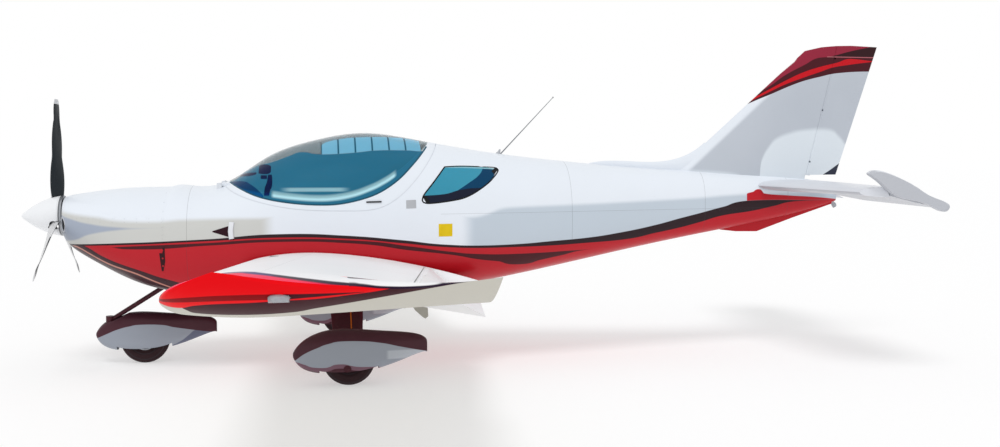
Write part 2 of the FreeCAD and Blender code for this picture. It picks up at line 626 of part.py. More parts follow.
def rudder_space(low, high, gap):
    a, b = fin_hinge(low), fin_hinge(high)
    corners = [Vector(a.x, -400, a.z), Vector(b.x, -400, b.z), Vector(b.x + 900, -400, b.z),
               Vector(a.x + 900, -400, a.z)]
    block = Part.Face(Part.makePolygon(corners + corners[:1])).extrude(Vector(0, 800, 0))
    return block.fuse(rod(a, b, fin_nose(low) + gap, fin_nose(high) + gap))


rudder = whole_fin.common(rudder_space(size("rudder_low_z"), size("fin_top_z"), 0))
fin = whole_fin.cut(rudder_space(size("fin_low_z") - 50, size("fin_top_z") + 50, gap)).cut(outer)
for share in (0.1, 0.5, 0.9):
    z = size("rudder_low_z") + (size("fin_top_z") - size("rudder_low_z")) * share
    lug, room = hinge(fin_hinge(z), fin_hinge(z + 1) - fin_hinge(z), fin_nose(z))
    rudder = rudder.cut(room)
    fin = fin.fuse(lug)
keep("rudder", rudder)
RIDGE = ((920, 1440, 1470, 10), (1330, 1400, 1481, 20), (1660, 1370, 1514, 28),
         (1860, 1350, 1632, 34))
rings = []
for x, low, high, half in RIDGE:
    rings.append(smooth_wire([Vector(x, half * math.cos(a), (low + high) / 2
                                     + (high - low) / 2 * math.sin(a))
                              for a in [2 * math.pi * i / 8 for i in range(8)]]))
ridge = Part.makeLoft(rings, True, False).cut(outer)
keep("fin", fin.fuse(ridge))
ventral_fin = prism([
    (1900, 960), (2000, 937), (2123, 923), (2298, 921), (2600, 1028), (2930, 1137), (2940, 1180),
    (2500, 1120), (2000, 1000)], size("ventral_thick") / 2).cut(outer)
keep("ventral_fin", ventral_fin)

# Main gear: composite legs, axles, spats, wheels
wheel_z = size("wheel_radius")
legs = []
for side in (-1, 1):
    rings = []
    for share, chord_name in ((0, "leg_chord_top"), (1, "leg_chord_low")):
        y = side * (size("leg_top_y") + (size("axle_in_y") - size("leg_top_y")) * share)
        z = size("leg_top_z") + (wheel_z + 12 - size("leg_top_z")) * share
        chord = size(chord_name)
        points = [Vector(size("main_wheel_x") + chord / 2 * math.cos(a),
                         y + side * size("leg_thick") / 2 * math.sin(a) * 0.5,
                         z + size("leg_thick") / 2 * math.sin(a) * 0.87)
                  for a in [2 * math.pi * i / 12 for i in range(12)]]
        rings.append(smooth_wire(points))
    legs.append(Part.makeLoft(rings, True, True))
main_legs = [leg.cut(cabin_outer) for leg in legs]


def spat_ring(x, half, low, top):
    middle = (low + top) / 2
    points = []
    for step in range(8):
        turn = 2 * math.pi * step / 8
        across, up = math.cos(turn), math.sin(turn)
        power = 0.85 if up >= 0 else 0.6
        points.append(Vector(x, half * math.copysign(abs(across) ** power, across),
                             middle + (top - middle) * math.copysign(abs(up) ** power, up)))
    return smooth_wire(points)


SPAT_STATIONS = ((0.0, 0.14, 0.40, 0.48), (0.035, 0.42, 0.22, 0.64), (0.13, 0.76, 0.06, 0.85),
                 (0.34, 1.0, 0.0, 1.0), (0.62, 0.86, 0.09, 0.95), (1.0, 0.2, 0.43, 0.70))


def spat(front_x, rear_x, half, low, top, inset):
    rings = []
    for share, wide, floor, roof in SPAT_STATIONS:
        x = front_x + inset + (rear_x - front_x - 2 * inset) * share
        rise = top - low
        width = max(half * wide - inset, 3)
        bottom, crest = low + rise * floor + inset * 0.6, low + rise * roof - inset * 0.6
        if crest - bottom < 16:
            middle = (crest + bottom) / 2
            bottom, crest = middle - 8, middle + 8
        rings.append(spat_ring(x, width, bottom, crest))
    return Part.makeLoft(rings, True, False)


def wheel_hole(x, y):
    room = size("tyre_width") / 2 + size("spat_opening")
    reach = size("wheel_radius") + 22
    return box(x - reach, x + reach, y - room, y + room, -50, wheel_z)


def spat_shell(x, front_x, rear_x, half, low, top):
    shell = spat(front_x, rear_x, half, low, top, 0).cut(
        spat(front_x, rear_x, half, low, top, size("spat_wall")))
    return shell.cut(wheel_hole(x, 0))


main_spat = spat_shell(size("main_wheel_x"), size("spat_front"), size("spat_rear"),
                       size("spat_half"), size("spat_low"), size("spat_top"))
axle = rod(Vector(size("main_wheel_x"), -size("track_y") - size("spat_half") + 2, wheel_z),
           Vector(size("main_wheel_x"), -size("axle_in_y"), wheel_z), size("axle_radius"))
placed = main_spat.copy()
placed.translate(Vector(0, -size("track_y"), 0))
leg_path = legs[0]
placed = placed.cut(leg_path).cut(axle)
keep("main_spats", Part.makeCompound([placed, mirrored(placed)]))
keep("main_axles", Part.makeCompound([axle, mirrored(axle)]))
keep("main_gear_legs", Part.makeCompound([main_legs[0].cut(axle), main_legs[1].cut(mirrored(axle))]))


def wheel(name, x, y, tyre_name, rim_name):
    place = Placement(Vector(x, y, wheel_z), Rotation(Vector(0, 0, 1), 90))
    turned(rim_name, [
        ("-sizes.rim_width / 2", "sizes.axle_radius + sizes.bore_gap"),
        ("-sizes.rim_width / 2", "sizes.axle_radius + 14"),
        ("-sizes.rim_width / 5", "sizes.axle_radius + 20"),
        ("-sizes.rim_width / 5", "sizes.rim_radius - 14"),
        ("-sizes.rim_width / 2", "sizes.rim_radius - 6"),
        ("-sizes.rim_width / 2", "sizes.rim_radius"),
        ("sizes.rim_width / 2", "sizes.rim_radius"),
        ("sizes.rim_width / 2", "sizes.rim_radius - 6"),
        ("sizes.rim_width / 5", "sizes.rim_radius - 14"),
        ("sizes.rim_width / 5", "sizes.axle_radius + 20"),
        ("sizes.rim_width / 2", "sizes.axle_radius + 14"),
        ("sizes.rim_width / 2", "sizes.axle_radius + sizes.bore_gap")], place)
    turned(tyre_name, [
        ("-sizes.rim_width / 2", "sizes.rim_radius"),
        ("-sizes.rim_width / 2", "sizes.rim_radius + 12"),
        ("-sizes.tyre_width / 2", "sizes.rim_radius + 36"),
        ("-sizes.tyre_width / 2", "sizes.wheel_radius - 38"),
        ("-sizes.tyre_width / 2 + 12", "sizes.wheel_radius - 14"),
        ("-sizes.tyre_width / 2 + 34", "sizes.wheel_radius"),
        ("sizes.tyre_width / 2 - 34", "sizes.wheel_radius"),
        ("sizes.tyre_width / 2 - 12", "sizes.wheel_radius - 14"),
        ("sizes.tyre_width / 2", "sizes.wheel_radius - 38"),
        ("sizes.tyre_width / 2", "sizes.rim_radius + 36"),
        ("sizes.rim_width / 2", "sizes.rim_radius + 12"),
        ("sizes.rim_width / 2", "sizes.rim_radius")], place)


wheel("left", size("main_wheel_x"), -size("track_y"), "main_tyre_left", "main_rim_left")
wheel("right", size("main_wheel_x"), size("track_y"), "main_tyre_right", "main_rim_right")
wheel("nose", size("nose_axle_x"), 0, "nose_tyre", "nose_rim")

# Nose gear: raked leg, castering fork and spat
leg_top = Vector(size("nose_leg_top_x"), 0, size("nose_leg_top_z"))
leg_foot = Vector(size("swivel_x") + 20, 0, size("swivel_z") + 12)
swivel = rod(Vector(size("swivel_x"), 0, size("swivel_z") - 26),
             Vector(size("swivel_x"), 0, size("swivel_z") + 34), size("swivel_radius"))
pivot_hole = rod(Vector(size("swivel_x"), 0, size("swivel_z") - 60),
                 Vector(size("swivel_x"), 0, size("swivel_z") + 20), 14.3)
nose_leg = rod(leg_top, leg_foot, size("nose_leg_radius")).fuse(swivel).cut(pivot_hole)
keep("nose_leg", nose_leg.cut(cowl_outer).cut(cabin_outer))
fork_y = size("tyre_width") / 2 + 8
fork_side = prism([(size("swivel_x") - 34, size("swivel_z") - 28),
                   (size("swivel_x") + 34, size("swivel_z") - 28),
                   (size("nose_axle_x") + 26, wheel_z + 18), (size("nose_axle_x") + 26, wheel_z - 22),
                   (size("nose_axle_x") - 26, wheel_z - 22),
                   (size("swivel_x") - 34, size("swivel_z") - 62)], 200)
arms = []
for side in (-1, 1):
    plan = [(size("swivel_x") - 34, 0), (size("swivel_x") + 34, 0), (size("swivel_x") + 34, 30),
            (size("swivel_x") + 100, fork_y), (size("nose_axle_x") + 26, fork_y),
            (size("nose_axle_x") + 26, fork_y + size("fork_thick")),
            (size("swivel_x") + 96, fork_y + size("fork_thick")), (size("swivel_x") - 34, 36)]
    corners = [Vector(x, side * y, 0) for x, y in plan]
    arm = Part.Face(Part.makePolygon(corners + corners[:1])).extrude(Vector(0, 0, 600))
    arms.append(arm.common(fork_side))
pin = rod(Vector(size("swivel_x"), 0, size("swivel_z") - 40),
          Vector(size("swivel_x"), 0, size("swivel_z") + 16), 14)
nose_axle = rod(Vector(size("nose_axle_x"), -size("nose_spat_half") + 3, wheel_z),
                Vector(size("nose_axle_x"), size("nose_spat_half") - 3, wheel_z),
                size("axle_radius"))
fork = arms[0].fuse([arms[1], pin, nose_axle])
keep("nose_fork", fork)
nose_spat = spat_shell(size("nose_axle_x"), size("nose_spat_front"), size("nose_spat_rear"),
                       size("nose_spat_half"), size("nose_spat_low"), size("nose_spat_top"))
slope = (leg_top.z - leg_foot.z) / (leg_top.x - leg_foot.x)
under = leg_foot.z - 1.14 * (size("nose_leg_radius") + size("leg_room")) \
    - slope * (leg_foot.x - size("swivel_x"))
side = [Vector(size("swivel_x"), 0, under), Vector(size("swivel_x") + 300, 0, under + 300 * slope),
        Vector(size("swivel_x") + 300, 0, under + 400), Vector(size("swivel_x"), 0, under + 400)]
pivot = Vector(size("swivel_x"), 0, 0)
sweep_face = Part.Face(Part.makePolygon(side + side[:1]))
sweep_face.rotate(pivot, Vector(0, 0, 1), -size("caster_angle") - 15)
leg_sweep = sweep_face.revolve(pivot, Vector(0, 0, 1), 2 * size("caster_angle") + 30)
swivel_room = rod(Vector(size("swivel_x"), 0, size("swivel_z") - 30),
                  Vector(size("swivel_x"), 0, size("swivel_z") + 200),
                  size("swivel_radius") + size("leg_room"))
keep("nose_spat", nose_spat.cut(swivel_room).cut(leg_sweep).cut(fork))

# Cabin: floor, panel, seats, console, sticks
floor = cabin_inner.common(box(-2200, size("bulkhead_x"), -far, far, size("floor_z"),
                         size("floor_z") + 8))
keep("cabin_floor", floor)
panel = cabin_inner.common(box(size("panel_x"), size("panel_x") + size("panel_thick"), -far, far,
                         size("panel_low"), size("panel_top"))).cut(opening_space)
keep("instrument_panel", panel)
bases, cushions, backs = [], [], []
for side in (-1, 1):
    y0 = side * size("seat_y") - size("seat_width") / 2
    y1 = y0 + size("seat_width")
    base = box(size("seat_front"), size("seat_rear"), y0 + 20, y1 - 20, size("floor_z") + 8,
               size("seat_high"))
    cushion = box(size("seat_front") - 20, size("seat_rear"), y0, y1, size("seat_high"),
                  size("seat_high") + size("cushion"))
    back = box(size("seat_rear"), size("seat_rear") + size("cushion"), y0, y1,
               size("seat_high"), size("back_top"))
    back.rotate(Vector(size("seat_rear"), 0, size("seat_high")), Vector(0, 1, 0),
                size("back_lean"))
    back = back.cut(cushion).common(cabin_inner)
    bases.append(base.common(cabin_inner))
    cushions.append(cushion.common(cabin_inner))
    backs.append(back)
keep("seat_bases", Part.makeCompound(bases))
keep("seat_cushions", Part.makeCompound(cushions))
keep("seat_backs", Part.makeCompound(backs))
keep("centre_console", box(-1540, size("seat_rear"), -size("console_half"), size("console_half"),
                           size("floor_z") + 8, size("console_top")))
sticks = []
for side in (-1, 1):
    sticks.append(rod(Vector(size("stick_x"), side * size("seat_y"), size("floor_z") + 10),
                      Vector(size("stick_x") + 40, side * size("seat_y"), size("stick_top")),
                      size("stick_radius")))
keep("control_sticks", Part.makeCompound(sticks))

# Lamps at the wing tips and tail
lamp = rod(Vector(size("tip_lamp_x") - 40, -size("tip_lamp_y"), size("tip_lamp_z")),
           Vector(size("tip_lamp_x") + 40, -size("tip_lamp_y") - 12, size("tip_lamp_z") + 3),
           size("lamp_radius")).cut(wing_tip)
tail_lamp = rod(Vector(2935, 0, 1160), Vector(2965, 0, 1112), size("lamp_radius")).cut(outer).cut(
    ventral_fin)
keep("position_lamps", Part.makeCompound([lamp, mirrored(lamp), tail_lamp]))

# Tie-down rings under both wings
def ring_at(y):
    front, rear = chord_at(y)
    x = front[0] + 0.3 * (rear[0] - front[0])
    z = front[1] - size("wing_thickness") * (rear[0] - front[0]) * 0.42
    eye = rod(Vector(x - 5, -y, z - 34), Vector(x + 5, -y, z - 34), size("ring_radius") + 7)
    stem = rod(Vector(x, -y, z - 22), Vector(x, -y, z + 60), 7)
    hole = rod(Vector(x - 9, -y, z - 34), Vector(x + 9, -y, z - 34), size("ring_radius"))
    slice_above = Part.makeLoft([wing_wire(y - 60), wing_wire(y + 60)], True, True)
    return eye.fuse(stem).cut(hole).cut(slice_above)


ring = ring_at(size("ring_y"))
keep("tie_down_rings", Part.makeCompound([ring, mirrored(ring)]))

# Brake discs and callipers on the main wheels' inner sides
disc_y = size("track_y") - size("rim_width") / 2 - size("disc_thick") - 5
disc = rod(Vector(size("main_wheel_x"), -disc_y, wheel_z),
           Vector(size("main_wheel_x"), -disc_y - size("disc_thick"), wheel_z),
           size("disc_radius")).cut(
    rod(Vector(size("main_wheel_x"), -disc_y + 9, wheel_z),
        Vector(size("main_wheel_x"), -disc_y - 30, wheel_z),
        size("axle_radius") + size("bore_gap")))
spacer = rod(Vector(size("main_wheel_x"), -disc_y - size("disc_thick"), wheel_z),
             Vector(size("main_wheel_x"), -size("track_y") + size("rim_width") / 2, wheel_z),
             size("axle_radius") + 12).cut(
    rod(Vector(size("main_wheel_x"), -disc_y + 9, wheel_z),
        Vector(size("main_wheel_x"), -disc_y - 30, wheel_z),
        size("axle_radius") + size("bore_gap")))
disc = disc.fuse(spacer)
keep("brake_disc_left", disc)
keep("brake_disc_right", mirrored(disc))

# Antenna
whip_foot = Vector(size("antenna_x"), 0, size("antenna_z") - 12)
whip = Vector(size("antenna_reach"), 0, size("antenna_rise"))
across = Vector(-whip.z, 0, whip.x).normalize()
rings = []
for share, radius in ((0, size("antenna_radius")), (1, size("antenna_radius") / 2)):
    corners = [whip_foot + whip * share + across * (radius * math.cos(a))
               + Vector(0, radius * math.sin(a), 0)
               for a in [2 * math.pi * i / 8 for i in range(8)]]
    rings.append(Part.makePolygon(corners + corners[:1]))
keep("antenna", Part.makeLoft(rings, True, True).cut(cabin_outer))

doc.recompute()

# Write out
os.makedirs("parts", exist_ok=True)
written = 0
for thing in doc.Objects:
    if "Invalid" in thing.State or "Error" in thing.State:
        raise RuntimeError("%s did not build" % thing.Label)
for thing in doc.Objects:
    top_level = thing.TypeId in ("Part::Feature", "PartDesign::Body")
    if not top_level:
        continue
    if thing.Shape.isNull() or not thing.Shape.isValid():
        raise RuntimeError("%s has no valid shape" % thing.Label)
    thing.Shape.exportStep(os.path.join("parts", thing.Label + ".step"))
    written += 1
    print(thing.Label, len(thing.Shape.Solids), round(thing.Shape.Volume / 1e6, 2))
print("nodes", written)
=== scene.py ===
# Two-seat low-wing microlight aircraft on its wheels: paint, glazing, cabin trim, small fittings,
# soft studio light and the side-on camera. Metres, nose to -X, port side to -Y, ground at z = 0.
import bpy, bmesh, json, math
from mathutils import Vector, Matrix, noise
from mathutils.bvhtree import BVHTree
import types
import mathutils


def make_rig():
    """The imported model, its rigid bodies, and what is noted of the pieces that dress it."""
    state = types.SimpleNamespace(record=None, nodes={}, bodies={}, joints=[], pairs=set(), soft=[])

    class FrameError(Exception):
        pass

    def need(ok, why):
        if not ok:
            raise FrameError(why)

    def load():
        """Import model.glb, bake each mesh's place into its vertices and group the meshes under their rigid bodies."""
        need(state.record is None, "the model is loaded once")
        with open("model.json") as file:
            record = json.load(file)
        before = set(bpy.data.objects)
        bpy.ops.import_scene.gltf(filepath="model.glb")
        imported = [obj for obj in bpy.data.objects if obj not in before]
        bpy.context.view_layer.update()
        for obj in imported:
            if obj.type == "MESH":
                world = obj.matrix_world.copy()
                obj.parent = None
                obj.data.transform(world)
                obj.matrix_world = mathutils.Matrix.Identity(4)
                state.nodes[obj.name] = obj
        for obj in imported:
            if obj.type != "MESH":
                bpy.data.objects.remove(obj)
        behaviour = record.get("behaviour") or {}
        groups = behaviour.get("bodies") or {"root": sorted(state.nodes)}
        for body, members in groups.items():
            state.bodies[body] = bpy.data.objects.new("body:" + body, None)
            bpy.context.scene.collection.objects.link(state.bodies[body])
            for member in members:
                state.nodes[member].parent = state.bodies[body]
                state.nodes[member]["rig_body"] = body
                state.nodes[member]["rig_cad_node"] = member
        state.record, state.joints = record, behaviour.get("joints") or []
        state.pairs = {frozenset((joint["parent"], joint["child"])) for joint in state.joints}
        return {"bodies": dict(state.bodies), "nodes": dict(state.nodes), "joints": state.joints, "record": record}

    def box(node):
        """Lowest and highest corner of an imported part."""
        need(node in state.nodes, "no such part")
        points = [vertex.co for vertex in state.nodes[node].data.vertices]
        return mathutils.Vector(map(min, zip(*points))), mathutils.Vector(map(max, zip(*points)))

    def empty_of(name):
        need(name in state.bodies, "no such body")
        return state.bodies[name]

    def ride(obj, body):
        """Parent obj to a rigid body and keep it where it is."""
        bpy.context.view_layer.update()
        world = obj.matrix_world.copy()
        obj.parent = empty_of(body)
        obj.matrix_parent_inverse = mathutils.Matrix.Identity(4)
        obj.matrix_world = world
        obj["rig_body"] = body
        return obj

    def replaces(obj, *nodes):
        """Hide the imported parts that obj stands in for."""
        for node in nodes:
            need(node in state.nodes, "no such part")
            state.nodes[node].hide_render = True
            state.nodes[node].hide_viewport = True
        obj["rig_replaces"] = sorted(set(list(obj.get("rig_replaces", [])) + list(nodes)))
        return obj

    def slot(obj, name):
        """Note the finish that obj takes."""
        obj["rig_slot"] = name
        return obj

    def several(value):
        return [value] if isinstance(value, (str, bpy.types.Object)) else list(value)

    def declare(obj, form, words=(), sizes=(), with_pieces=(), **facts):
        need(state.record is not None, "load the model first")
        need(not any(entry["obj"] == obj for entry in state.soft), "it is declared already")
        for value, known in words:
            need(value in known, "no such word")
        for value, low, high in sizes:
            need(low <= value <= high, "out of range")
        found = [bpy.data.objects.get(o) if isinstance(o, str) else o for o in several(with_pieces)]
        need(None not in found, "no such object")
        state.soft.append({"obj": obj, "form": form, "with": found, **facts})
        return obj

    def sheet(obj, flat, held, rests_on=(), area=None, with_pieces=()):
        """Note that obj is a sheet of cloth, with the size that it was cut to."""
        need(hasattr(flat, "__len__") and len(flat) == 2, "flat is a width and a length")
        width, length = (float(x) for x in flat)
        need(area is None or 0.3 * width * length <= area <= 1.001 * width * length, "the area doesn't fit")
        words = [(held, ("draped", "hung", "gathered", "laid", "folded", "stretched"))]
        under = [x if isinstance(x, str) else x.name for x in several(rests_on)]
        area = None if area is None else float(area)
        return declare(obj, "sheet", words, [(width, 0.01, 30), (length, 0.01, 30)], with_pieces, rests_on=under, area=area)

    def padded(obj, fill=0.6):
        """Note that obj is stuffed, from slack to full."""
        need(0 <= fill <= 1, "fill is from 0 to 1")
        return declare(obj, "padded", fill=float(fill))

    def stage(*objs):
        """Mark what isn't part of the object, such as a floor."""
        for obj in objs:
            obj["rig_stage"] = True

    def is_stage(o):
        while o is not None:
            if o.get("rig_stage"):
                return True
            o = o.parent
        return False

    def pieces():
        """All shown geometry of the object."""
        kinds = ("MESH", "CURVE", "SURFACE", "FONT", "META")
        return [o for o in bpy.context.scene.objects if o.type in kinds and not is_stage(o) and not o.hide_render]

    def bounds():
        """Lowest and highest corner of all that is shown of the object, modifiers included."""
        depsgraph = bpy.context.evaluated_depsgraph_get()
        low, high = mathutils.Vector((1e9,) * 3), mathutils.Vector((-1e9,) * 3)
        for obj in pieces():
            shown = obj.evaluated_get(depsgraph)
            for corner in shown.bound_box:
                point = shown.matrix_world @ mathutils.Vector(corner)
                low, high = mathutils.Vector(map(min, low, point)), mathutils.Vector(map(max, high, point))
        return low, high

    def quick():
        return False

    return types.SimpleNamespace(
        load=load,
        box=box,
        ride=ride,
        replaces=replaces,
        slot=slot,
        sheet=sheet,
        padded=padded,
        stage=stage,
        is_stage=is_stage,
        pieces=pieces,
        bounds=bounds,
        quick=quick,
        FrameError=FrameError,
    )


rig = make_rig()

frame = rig.load()
cad_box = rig.bounds()
nodes = frame["nodes"]
scene = bpy.context.scene

WHITE, RED, MAROON, INK = "#E9EFF7", "#BE1E2A", "#48141C", "#2A191F"
# The beige on the next line is painted shade for the wings' undersides
BRIGHT_RED, DARK_RED, UNDERSIDE_SHADE, TRIM = "#F00C16", "#8A0A10", "#C9C6BC", "#54565A"


def rgb(code):
    """A #RRGGBB colour as linear values."""
    parts = [int(code[i:i + 2], 16) / 255 for i in (1, 3, 5)]
    return [p / 12.92 if p <= 0.04045 else ((p + 0.055) / 1.055) ** 2.4 for p in parts] + [1.0]


class Shader:
    """A node material over the row's own coordinates, with short names for the usual steps."""

    def __init__(self, name, roughness=0.4, metallic=0.0, coat=0.0):
        self.material = bpy.data.materials.new(name)
        self.material.use_nodes = True
        self.tree = self.material.node_tree
        self.shader = self.tree.nodes["Principled BSDF"]
        self.set("Roughness", roughness)
        self.set("Metallic", metallic)
        self.set("Coat Weight", coat)
        self.set("Specular IOR Level", 0.5 if metallic else 0.18)
        coords = self.node("TexCoord").outputs
        self.place = coords["Object"]
        self.x, self.y, self.z = self.axes(self.place)
        self.nx, self.ny, self.nz = self.axes(coords["Normal"])
        self.side = self.calc("ABSOLUTE", self.y)

    def node(self, kind):
        return self.tree.nodes.new("ShaderNode" + kind)

    def put(self, node, index, value):
        if hasattr(value, "is_output"):
            self.tree.links.new(value, node.inputs[index])
        else:
            node.inputs[index].default_value = value

    def set(self, name, value):
        self.put(self.shader, name, value)

    def feed(self, node, *values):
        """Sets or links a node's first inputs, and gives its first output."""
        for index, value in enumerate(values):
            self.put(node, index, value)
        return node.outputs[0]

    def axes(self, vector):
        node = self.node("SeparateXYZ")
        self.feed(node, vector)
        return node.outputs

    def calc(self, operation, *values):
        node = self.node("Math")
        node.operation = operation
        return self.feed(node, *values)

    def less(self, value, taken):
        return self.calc("SUBTRACT", value, taken)

    def times(self, value, factor):
        return self.calc("MULTIPLY", value, factor)

    def off(self, mask):
        return self.less(1.0, mask)

    def step(self, value, edge, soft=0.004):
        """0 below the edge, 1 above it."""
        node = self.node("MapRange")
        node.interpolation_type = "SMOOTHSTEP"
        return self.feed(node, self.less(value, edge), -soft / 2, soft / 2, 0.0, 1.0)

    def below(self, value, edge, soft=0.004):
        return self.off(self.step(value, edge, soft))

    def span(self, value, low, high, soft=0.004):
        """1 between the two edges."""
        return self.times(self.step(value, low, soft), self.below(value, high, soft))

    def over(self, points, soft=0.003):
        """1 above a line drawn along the side."""
        return self.step(self.z, self.curve(points), soft)

    def under(self, points, soft=0.003):
        return self.off(self.over(points, soft))

    def within(self, low, high, soft=0.003):
        """1 between two lines drawn along the side."""
        return self.span(self.z, self.curve(low), self.curve(high), soft)

    def both(self, *masks):
        result = masks[0]
        for mask in masks[1:]:
            result = self.times(result, mask)
        return result

    def most(self, *masks):
        result = masks[0]
        for mask in masks[1:]:
            result = self.calc("MAXIMUM", result, mask)
        return result

    def scale(self, value, low, high):
        return self.calc("MULTIPLY_ADD", value, high - low, low)

    def mix(self, share, below, above, kind="MIX"):
        node = self.node("Mix")
        node.data_type, node.blend_type = "RGBA", kind
        self.put(node, 0, share)
        for index, colour in ((6, below), (7, above)):
            self.put(node, index, rgb(colour) if isinstance(colour, str) else colour)
        return node.outputs[2]

    def coats(self, colour, *layers):
        """Paints each (mask, colour) layer over the last."""
        for mask, paint in layers:
            colour = self.mix(mask, colour, paint)
        return colour

    def curve(self, points, along=None):
        """A smooth line through (place, value) points, read at along."""
        along = along or self.x
        first, last = points[0][0], points[-1][0]
        low, high = min(v for _, v in points), max(v for _, v in points)
        node = self.node("FloatCurve")
        line = node.mapping.curves[0]
        pairs = [((p - first) / (last - first), (v - low) / (high - low)) for p, v in points]
        line.points[0].location, line.points[1].location = pairs[0], pairs[-1]
        for pair in pairs[1:-1]:
            line.points.new(*pair)
        node.mapping.update()
        self.put(node, "Value", self.calc("DIVIDE", self.less(along, first), last - first))
        return self.scale(node.outputs[0], low, high)

    def noise(self, scale, detail=2.0, stretch=None):
        place = self.place
        if stretch:
            mapping = self.node("Mapping")
            self.put(mapping, "Scale", stretch)
            place = self.feed(mapping, place)
        node = self.node("TexNoise")
        self.put(node, "Scale", scale)
        self.put(node, "Detail", detail)
        return self.feed(node, place)

    def wave(self, value, pitch):
        """Distance to the nearest of a row of lines, one every pitch."""
        share = self.calc("FRACT", self.calc("DIVIDE", value, pitch))
        return self.times(self.calc("ABSOLUTE", self.less(share, 0.5)), pitch)

    def line(self, value, edge, half=0.0012):
        return self.below(self.calc("ABSOLUTE", self.less(value, edge)), half, half)

    def reach(self, a, b):
        """The long side over two short ones."""
        return self.calc("SQRT", self.calc("ADD", self.calc("POWER", a, 2.0), self.calc("POWER", b, 2.0)))

    def dots(self, along, pitch, value, edge=0.0, radius=0.0024):
        """Round heads every pitch along a line that lies where the value meets the edge."""
        return self.below(self.reach(self.wave(along, pitch), self.less(value, edge)), radius, radius * 0.5)

    def finish(self, colour, groove=None, heads=None, peel=0.02, grime=0.06, fine=260.0):
        """Base colour with slight clouding, seams and fastener heads, and the bump of a sprayed coat."""
        cloud = self.noise(2.1, 3.0)
        colour = self.mix(grime, colour, self.mix(cloud, "#9A948A", "#FFFFFF"), "MULTIPLY")
        height = self.times(self.noise(fine, 1.0), peel)
        if groove is not None:
            colour = self.mix(self.times(groove, 0.45), colour, "#3B3B40")
            height = self.less(height, groove)
        if heads is not None:
            colour = self.mix(self.times(heads, 0.1), colour, "#6E7076")
            height = self.calc("ADD", height, self.times(heads, 0.6))
        bump = self.node("Bump")
        self.put(bump, "Strength", 0.35)
        self.put(bump, "Distance", 0.001)
        self.put(bump, "Height", height)
        self.set("Normal", bump.outputs[0])
        self.set("Base Color", colour)
        rough = self.shader.inputs["Roughness"].default_value
        self.set("Roughness", self.scale(cloud, rough * 0.8, rough * 1.25))
        return self.material


def dress(material, *names):
    """Gives a CAD node its material."""
    for name in names:
        mesh = nodes[name].data
        if not mesh.materials:
            mesh.materials.append(material)
        for index in range(len(mesh.materials)):
            mesh.materials[index] = material


# Paint on the fuselage: a white top, a dark stripe that sweeps along the waist, red below it with a slim
# maroon flash inside, a dark keel under the nose with a pale painted highlight along it, a red corner at
# the stabiliser's root, and grey trim on every face that looks into the cabin. Painted shade greys the
# lower white flank, and a blue-grey painted shadow lies on the nose
STRIPE_TOP = [(-3.05, 0.903), (-2.768, 0.92), (-2.333, 0.939), (-1.925, 0.958), (-1.357, 0.99),
    (-1.004, 0.975), (-0.59, 0.937), (-0.228, 0.895), (-0.013, 0.885), (0.253, 0.887), (0.525, 0.901),
    (0.804, 0.917), (1.088, 0.95), (1.378, 1.0), (1.586, 1.048), (1.755, 1.085), (1.969, 1.134),
    (2.185, 1.176), (2.405, 1.178), (2.618, 1.173), (3.0, 1.172)]
STRIPE_LOW = [(-3.05, 0.893), (-2.768, 0.908), (-2.333, 0.925), (-1.925, 0.944), (-1.357, 0.965),
    (-1.005, 0.953), (-0.59, 0.915), (-0.228, 0.877), (-0.012, 0.867), (0.253, 0.866), (0.526, 0.868),
    (0.807, 0.878), (1.096, 0.891), (1.385, 0.937), (1.594, 0.975), (1.761, 1.014), (1.972, 1.065),
    (2.189, 1.091), (2.407, 1.131), (2.618, 1.165), (3.0, 1.17)]
FLASH_TOP = [(-3.05, 0.88), (-2.62, 0.898), (-2.535, 0.905), (-1.925, 0.932), (-1.357, 0.954),
    (-1.005, 0.943), (-0.518, 0.889), (-0.228, 0.845), (-0.011, 0.822), (0.217, 0.814), (0.472, 0.816),
    (0.651, 0.821), (0.86, 0.826), (3.0, 0.9)]
FLASH_LOW = [(-3.05, 0.882), (-2.62, 0.9), (-2.5, 0.888), (-1.925, 0.913), (-1.357, 0.935), (-1.005, 0.922),
    (-0.518, 0.86), (-0.228, 0.823), (-0.009, 0.78), (0.145, 0.759), (0.305, 0.729), (0.44, 0.753),
    (0.637, 0.789), (0.86, 0.826), (3.0, 0.9)]
KEEL_TOP = [(-3.05, 0.99), (-2.85, 0.925), (-2.777, 0.896), (-2.68, 0.837), (-2.594, 0.797),
    (-2.507, 0.765), (-2.392, 0.727), (-2.28, 0.685), (-2.167, 0.65), (-1.9, 0.56), (-1.0, 0.4), (3.0, 0.1)]
# Line of the pale painted highlight along the keel's lower edge
KEEL_HIGHLIGHT = [(-3.05, 0.945), (-2.85, 0.89), (-2.777, 0.852), (-2.698, 0.806), (-2.614, 0.766),
    (-2.529, 0.737), (-2.445, 0.708), (-2.351, 0.665), (-2.285, 0.634), (-1.9, 0.48), (-1.0, 0.3),
    (3.0, 0.1)]
SHADE_TOP = [(-3.05, 1.15), (-2.7, 1.108), (-2.35, 1.078), (-2.1, 1.092), (-1.5, 1.1), (-0.15, 1.085),
    (0.2, 1.155), (0.8, 1.17), (1.7, 1.2), (2.2, 1.225), (3.0, 1.23)]
# Lines that bound the blue-grey painted shadow on the nose
NOSE_SHADOW_LOW = [(-3.05, 0.925), (-2.9, 0.94), (-2.75, 0.99), (-2.55, 1.022), (-2.4, 1.034), (3.0, 1.2)]
NOSE_SHADOW_TOP = [(-3.05, 1.13), (-2.9, 1.095), (-2.75, 1.062), (-2.55, 1.04), (-2.4, 1.034), (3.0, 1.2)]
ROOT_TOP = [(2.15, 1.17), (2.165, 1.233), (2.215, 1.245), (2.266, 1.264), (2.31, 1.23), (2.528, 1.211),
    (2.736, 1.198), (3.0, 1.172)]


